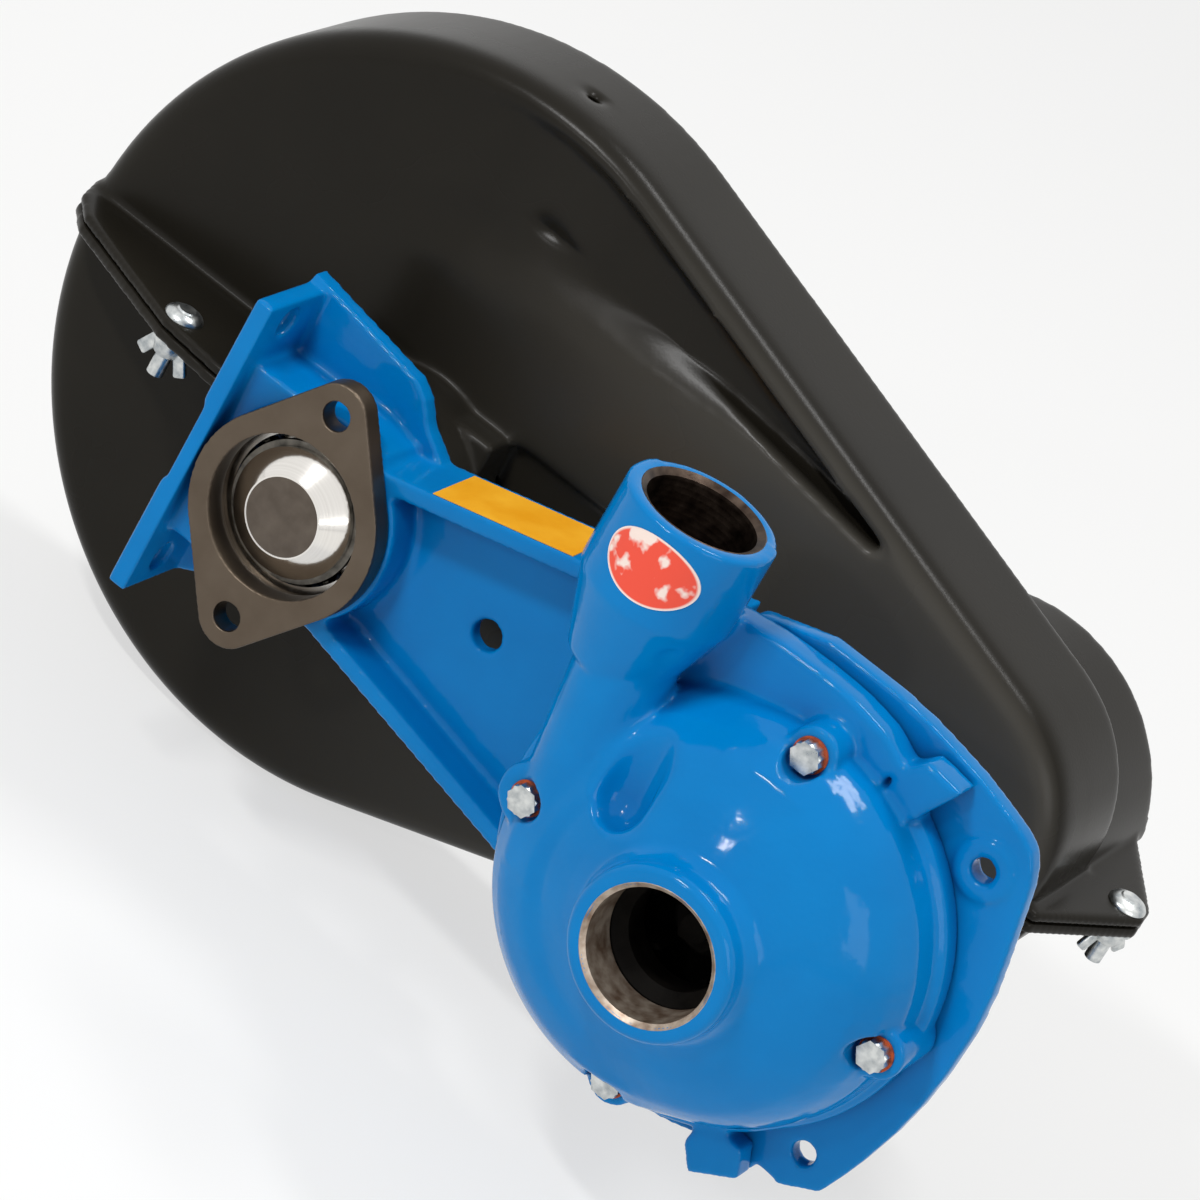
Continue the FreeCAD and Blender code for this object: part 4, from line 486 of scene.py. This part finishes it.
# Drive shaft: turned from bar, its front cone polished and its tip left as sawn and faced.
# Polished steel: bright mirror with very fine turning rings about the shaft's axis.
polished, shader, place = finish_of("polished_turned_steel", Metallic=1.0, Roughness=0.12)
from_axis = add(
    polished,
    "VectorMath",
    {0: place, 1: (1.0, 0.0, 1.0)},
    operation="MULTIPLY",
)
reach = add(polished, "VectorMath", {0: from_axis.outputs["Vector"]}, operation="LENGTH")
rings = add(
    polished,
    "TexNoise",
    {"W": reach.outputs["Value"], "Scale": 1500.0, "Detail": 2.0},
    noise_dimensions="1D",
)
joined(polished, shader, "Roughness", ranged(polished, rings.outputs["Fac"], 0.1, 0.13))
tint = mixed(polished, rings.outputs["Fac"], linear("#DDD9D3"), linear("#E9E6E1"))
joined(polished, shader, "Base Color", tint)

shaft = smoothed(copied("drive_shaft_body", "drive_shaft"), 25)
shaft.data.materials.append(polished)
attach(shaft, "drive_rotor")
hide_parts("drive_shaft")

# Cone at the front of the shaft, turned smooth and polished bright.
SHAFT_FRONT = (0, 0.7, 0)
cone = turned(
    "shaft_cone",
    [(14.4, 0.05), (14.8, 0.0), (23.35, -6.6), (23.35, -8.5), (17.5, -8.5)],
    SHAFT_FRONT,
    FORWARD,
    128,
)
cone.data.materials.append(polished)
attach(smoothed(cone, 20), "drive_rotor")

# Ring behind the cone: a dark oiled steel slinger that throws dirt off the bearing.
finished(spring_wire, "front_slinger")

# Faced tip of the shaft: dull grey disc inside the polished cone.
disc = [(14.2, 0.0), (13.9, 0.12), (4.0, 0.12), (0.01, 0.12)]
tip = turned("shaft_tip_face", disc, SHAFT_FRONT, FORWARD)
dull, shader, place = finish_of("faced_steel", Metallic=1.0, Roughness=0.4)
marks = add(dull, "TexNoise", {"Vector": place, "Scale": 150.0, "Detail": 5.0})
dull_tone = mixed(dull, marks.outputs["Fac"], linear("#4C443D"), linear("#6F665D"))
joined(dull, shader, "Base Color", dull_tone)
tip.data.materials.append(dull)
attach(smoothed(tip), "drive_rotor")

# Belt: black ribbed rubber, one closed loop round both pulleys.
# Belt rubber: matt black with a dusty bloom.
belt_rubber = mottled("ribbed_belt_rubber", 160.0, "#171716", "#292826", 0.6, 0.8, 0.1)
finished(belt_rubber, "drive_belt")

# Tensioner arm: zinc-plated steel strip, yellowed.
# Yellow zinc: straw-coloured plating with a faint rainbow of green and pink.
yellow_zinc = mottled(
    "yellow_zinc_plate", 90.0, "#9C8A55", "#C2B587", 0.25, 0.42, 0.05, Metallic=1.0
)
finished(yellow_zinc, "tensioner_arm")

# Guard: two halves of thick black plastic, blow-moulded, with soft edges all over.
# The upper half's front has a raised plateau whose edge rolls gently into the valley.
# Moulded plastic: satin near-black with a fine leathery skin, greyed by dust. Where the
# front stands out near the pump it is painted lighter grey as a sheen of light.
plastic, shader, place = finish_of("black_moulded_plastic", Specular_IOR_Level=0.12)
dust = add(plastic, "TexNoise", {"Vector": place, "Scale": 9.0, "Detail": 4.0})
black = mixed(plastic, dust.outputs["Fac"], linear("#14120E"), linear("#26231D"))
spot = add(plastic, "SeparateXYZ", {"Vector": place})
# Painted sheen: lighter grey on the front that stands out, rising towards the pump.
toward_pump = ranged(plastic, spot.outputs["X"], 0.0, 0.8, -0.02, 0.14)
raised = ranged(plastic, spot.outputs["Y"], 1.0, 0.0, 0.0775, 0.083)
painted_sheen = add(plastic, "Math", {0: toward_pump, 1: raised}, operation="MULTIPLY")
dusty_black_and_sheen = mixed(plastic, painted_sheen.outputs["Value"], black, linear("#4C4943"))
joined(plastic, shader, "Base Color", dusty_black_and_sheen)
joined(plastic, shader, "Roughness", ranged(plastic, dust.outputs["Fac"], 0.22, 0.34))
leather = add(plastic, "TexNoise", {"Vector": place, "Scale": 900.0, "Detail": 2.0})
texture = add(
    plastic,
    "Bump",
    {"Height": leather.outputs["Fac"], "Strength": 0.25, "Distance": 0.0001},
)
joined(plastic, shader, "Normal", texture.outputs["Normal"])

# Measures of the upper half's front, in metres. Each plateau is the radius of its disc
# and the height of its upper edge at both ends of a line.
GUARD_GRAIN = 0.0013
FACE = 0.0765
WALL = 0.004
RIM = 0.0095
SLOPE = 0.066
VALLEY_START = -0.07
EDGE_START = 0.024
EDGE_RUN = 0.162
CAD_PLATEAU = (0.107, 0.109, 0.086)
PLATEAU = (0.081, 0.089, 0.096)
PUSH = 0.02
OUTLINE = ((-0.0109, 0.0085, 0.1431), (0.2192, 0.0249, 0.0559), (0.205, 0.0, 0.062))


def outside_plateau(x, z, radius, left, right):
    """Distance outside the plateau, a disc and the flat below a line from it."""
    fall = (right - left) / EDGE_RUN
    beside = (z - left - fall * (x - EDGE_START)) / math.hypot(1.0, fall)
    disc = numpy.hypot(x, z) - radius
    return numpy.where(x > 0, numpy.minimum(disc, beside), disc)


def inside_outline(x, z):
    """Distance inside the guard's outline, the hull of its three circles."""
    best = numpy.full(x.shape, -1.0)
    for one, two in ((0, 1), (0, 2), (1, 2)):
        for share in numpy.linspace(0.0, 1.0, 25):
            cx, cz, r = (a + (b - a) * share for a, b in zip(OUTLINE[one], OUTLINE[two]))
            best = numpy.maximum(best, r - numpy.hypot(x - cx, z - cz))
    return best


def eased(value):
    """A soft step from 0 to 1."""
    value = numpy.clip(value, 0.0, 1.0)
    return value * value * (3.0 - 2.0 * value)


def widen_valley(shell):
    """Pushes the front wall back between the rim and the small round plateau."""
    count = len(shell.data.vertices)
    flat = numpy.empty(count * 3)
    shell.data.vertices.foreach_get("co", flat)
    x, y, z = flat.reshape(count, 3).T
    deep = SLOPE * numpy.clip(x - VALLEY_START, 0.0, 1.0)
    was_outside = outside_plateau(x, z, *CAD_PLATEAU)
    was_deep = numpy.where(was_outside > -0.0015, deep, 0.0)
    layer = numpy.where(y < FACE + WALL / 2 + was_deep, FACE, FACE + WALL)
    inner = inside_outline(x, z)
    share = eased(outside_plateau(x, z, *PLATEAU) / 0.014)
    share = share * eased((inner - RIM + 0.001) / 0.008)
    shift = layer + deep * share - y
    chosen = (y < FACE + WALL + deep + 0.002) & (z > 0.045) & (inner > RIM + 0.001)
    chosen &= (x > VALLEY_START) & (shift > 0.0002)
    group = shell.vertex_groups.new(name="valley")
    for index in numpy.flatnonzero(chosen):
        group.add([int(index)], float(shift[index]) / PUSH, "REPLACE")
    push = {"direction": "Y", "strength": PUSH, "mid_level": 0.0}
    worked(shell, "DISPLACE", vertex_group="valley", **push)


def is_wall(point):
    """Whether a point of the guard lies away from its split flanges and sleeve."""
    return abs(point.z - 0.012) > 0.009 and math.hypot(point.x, point.z) > 0.05


def is_front(point):
    """Whether a point lies on the guard's front face."""
    return 0.06 < point.y < 0.105 and is_wall(point)


for half, body in (("guard_upper", "upper_guard"), ("guard_lower", "frame")):
    shell = as_moulded(f"{half}_body", half, GUARD_GRAIN, 5, 195000)
    if half == "guard_upper":
        widen_valley(shell)
    settled(shell, "walls", is_wall, 14)
    settled(shell, "front_face", is_front, 36)
    shell.data.materials.append(plastic)
    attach(shell, body)
    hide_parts(half)

# Guard fasteners: two carriage bolts with domed heads, washers, and wing nuts below.
# Heads and nuts are zinc plated like the casing bolts.
finished(zinc, "guard_bolts", "guard_washers", "guard_screws")
SPLIT_TOP = 16.3
NUT_TOP = 6.5
BOLTS = (("left", -83.0, 41, 0), ("right", 293.5, 131, 63))
WING = (5.2, 2.4, 9.6)
WING_SPOT = (7.0, 0, -6.4)
WING_LEAN = -30
for side, x, y, heading in BOLTS:
    dome = turned(
        f"carriage_head_{side}",
        [(7.3, 0.0), (7.3, 0.5), (6.4, 1.7), (4.6, 2.7), (2.4, 3.25), (0.01, 3.4)],
        (x, y, SPLIT_TOP),
        UP,
        64,
    )
    dome.data.materials.append(zinc)
    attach(smoothed(dome, 50), "upper_guard")

for side, x, y, heading in BOLTS:
    hub = turned(
        f"wing_nut_{side}_body",
        [(3.3, 0.0), (6.1, 0.0), (6.2, -0.8), (4.9, -5.6), (4.2, -6.2), (3.3, -6.2), (3.3, 0.0)],
        (x, y, NUT_TOP),
        UP,
        64,
    )
    for turn in (heading, heading + 180):
        swing = Matrix.Rotation(math.radians(turn), 4, "Z")
        spot = Vector((x, y, NUT_TOP)) + swing @ Vector(WING_SPOT)
        alone(None)
        bpy.ops.mesh.primitive_cube_add(size=MM, location=spot * MM)
        wing = bpy.context.object
        wing.scale = WING
        lean = Matrix.Rotation(math.radians(WING_LEAN), 4, "Y")
        wing.rotation_euler = (swing @ lean).to_euler()
        bpy.ops.object.transform_apply(location=True, rotation=True, scale=True)
        worked(wing, "BEVEL", width=1.1 * MM, segments=4, limit_method="ANGLE", angle_limit=0.8)
        hub.select_set(True)
        bpy.context.view_layer.objects.active = hub
        bpy.ops.object.join()
    hub.data.materials.append(zinc)
    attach(smoothed(hub, 40), f"{side}_wing_nut")
    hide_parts(f"wing_nut_{side}")

# Amber label: a plain strip of amber film on the arm's upper flange.
# Amber film: warm yellow-orange, slightly faded in patches.
amber = mottled("amber_label_film", 60.0, "#EDA012", "#F8B52A", 0.3, 0.45, 0.02)
finished(amber, "arm_label")

# Oval label on the outlet boss: plain red film with a white rim, rubbed in places.
# Red film: orange-red vinyl; white vinyl shows round its edge and where it is rubbed.
OVAL_X = 0.1406
OVAL_Z = 0.1015
OVAL_WIDE = 0.0162
OVAL_TALL = 0.0113
red_film, shader, place = finish_of("red_label_film", Roughness=0.35)
reach = add(
    red_film,
    "Mapping",
    {
        "Vector": place,
        "Location": (-OVAL_X / OVAL_WIDE, 0.0, -OVAL_Z / OVAL_TALL),
        "Scale": (1 / OVAL_WIDE, 0.0, 1 / OVAL_TALL),
    },
    vector_type="POINT",
)
oval = add(red_film, "VectorMath", {0: reach.outputs["Vector"]}, operation="LENGTH")
rim = ranged(red_film, oval.outputs["Value"], 0.0, 1.0, 0.98, 1.03)
rub = add(red_film, "TexNoise", {"Vector": place, "Scale": 105.0, "Detail": 3.0})
rubbed = ranged(red_film, rub.outputs["Fac"], 0.0, 1.0, 0.57, 0.64)
bare = add(red_film, "Math", {0: rim, 1: rubbed}, operation="MAXIMUM")
film = mixed(red_film, bare.outputs["Value"], linear("#E8472E"), linear("#F0DCD2"))
joined(red_film, shader, "Base Color", film)
finished(red_film, "outlet_label")

# Camera: a long lens from the front, above and to the right, leaning to the left.
camera_data = bpy.data.cameras.new("camera")
camera_data.sensor_width = 36.0
camera_data.lens = 176.94
camera_data.clip_start = 0.1
camera_data.clip_end = 50.0
camera = bpy.data.objects.new("camera", camera_data)
bpy.context.scene.collection.objects.link(camera)
right = Vector((0.75908, 0.46873, 0.45176))
above = Vector((-0.59546, 0.21947, 0.77282))
behind = Vector((0.26310, -0.85564, 0.44571))
stand = Matrix((right, above, behind)).transposed().to_4x4()
stand.translation = Vector((0.62947, -1.67850, 0.92536))
camera.matrix_world = stand
bpy.context.scene.camera = camera

# Floor: one large pale sheet under the object.
alone(None)
bpy.ops.mesh.primitive_plane_add(size=12.0, location=(0.1, 0.1, cad_box[0].z - 0.0005))
floor = bpy.context.object
floor.name = "floor"
paper, shader, place = finish_of("white_paper", Roughness=0.9)
shader.inputs["Base Color"].default_value = linear("#F4F4F2")
white = add(paper, "Emission", {"Color": linear("#FFFFFF"), "Strength": 1.0})
lift = add(paper, "Math", {0: seen_share(paper), 1: 0.62}, operation="MULTIPLY")
blend = add(
    paper,
    "MixShader",
    {0: lift.outputs["Value"], 1: shader.outputs[0], 2: white.outputs[0]},
)
paper.node_tree.links.new(blend.outputs[0], paper.node_tree.nodes["Material Output"].inputs[0])
floor.data.materials.append(paper)

# Studio: a white room and four soft lamps.
world = bpy.data.worlds.new("studio")
bpy.context.scene.world = world
world.use_nodes = True
sky = world.node_tree.nodes["Background"]
sky.inputs["Color"].default_value = (1, 1, 1, 1)
sky.inputs["Strength"].default_value = 0.38
open_sky = add(world, "Background", {"Color": (1, 1, 1, 1), "Strength": 1.0})
choose = add(
    world,
    "MixShader",
    {0: seen_share(world), 1: sky.outputs[0], 2: open_sky.outputs[0]},
)
world.node_tree.links.new(choose.outputs[0], world.node_tree.nodes["World Output"].inputs[0])


def lamp(name, place, aim, wide, tall, power):
    """A soft rectangular lamp turned to its aim."""
    data = bpy.data.lights.new(name, "AREA")
    data.shape = "RECTANGLE"
    data.size = wide
    data.size_y = tall
    data.energy = power
    light = bpy.data.objects.new(name, data)
    bpy.context.scene.collection.objects.link(light)
    light.location = place
    light.rotation_mode = "QUATERNION"
    light.rotation_quaternion = (Vector(aim) - Vector(place)).to_track_quat("-Z", "Y")
    return light


middle = (0.1, 0.0, 0.0)
lamp("key", (-0.5, -1.3, 1.7), middle, 0.5, 0.12, 21)
pump_front = (0.2, -0.05, 0.0)
lamp("front", (-0.38, -1.92, 1.0), pump_front, 0.13, 0.1, 4)
lamp("fill", (1.8, -1.1, 0.7), middle, 1.0, 1.0, 8)
lamp("top", (0.4, 0.5, 1.9), middle, 0.9, 0.2, 15)

bpy.context.scene.view_settings.view_transform = "Standard"
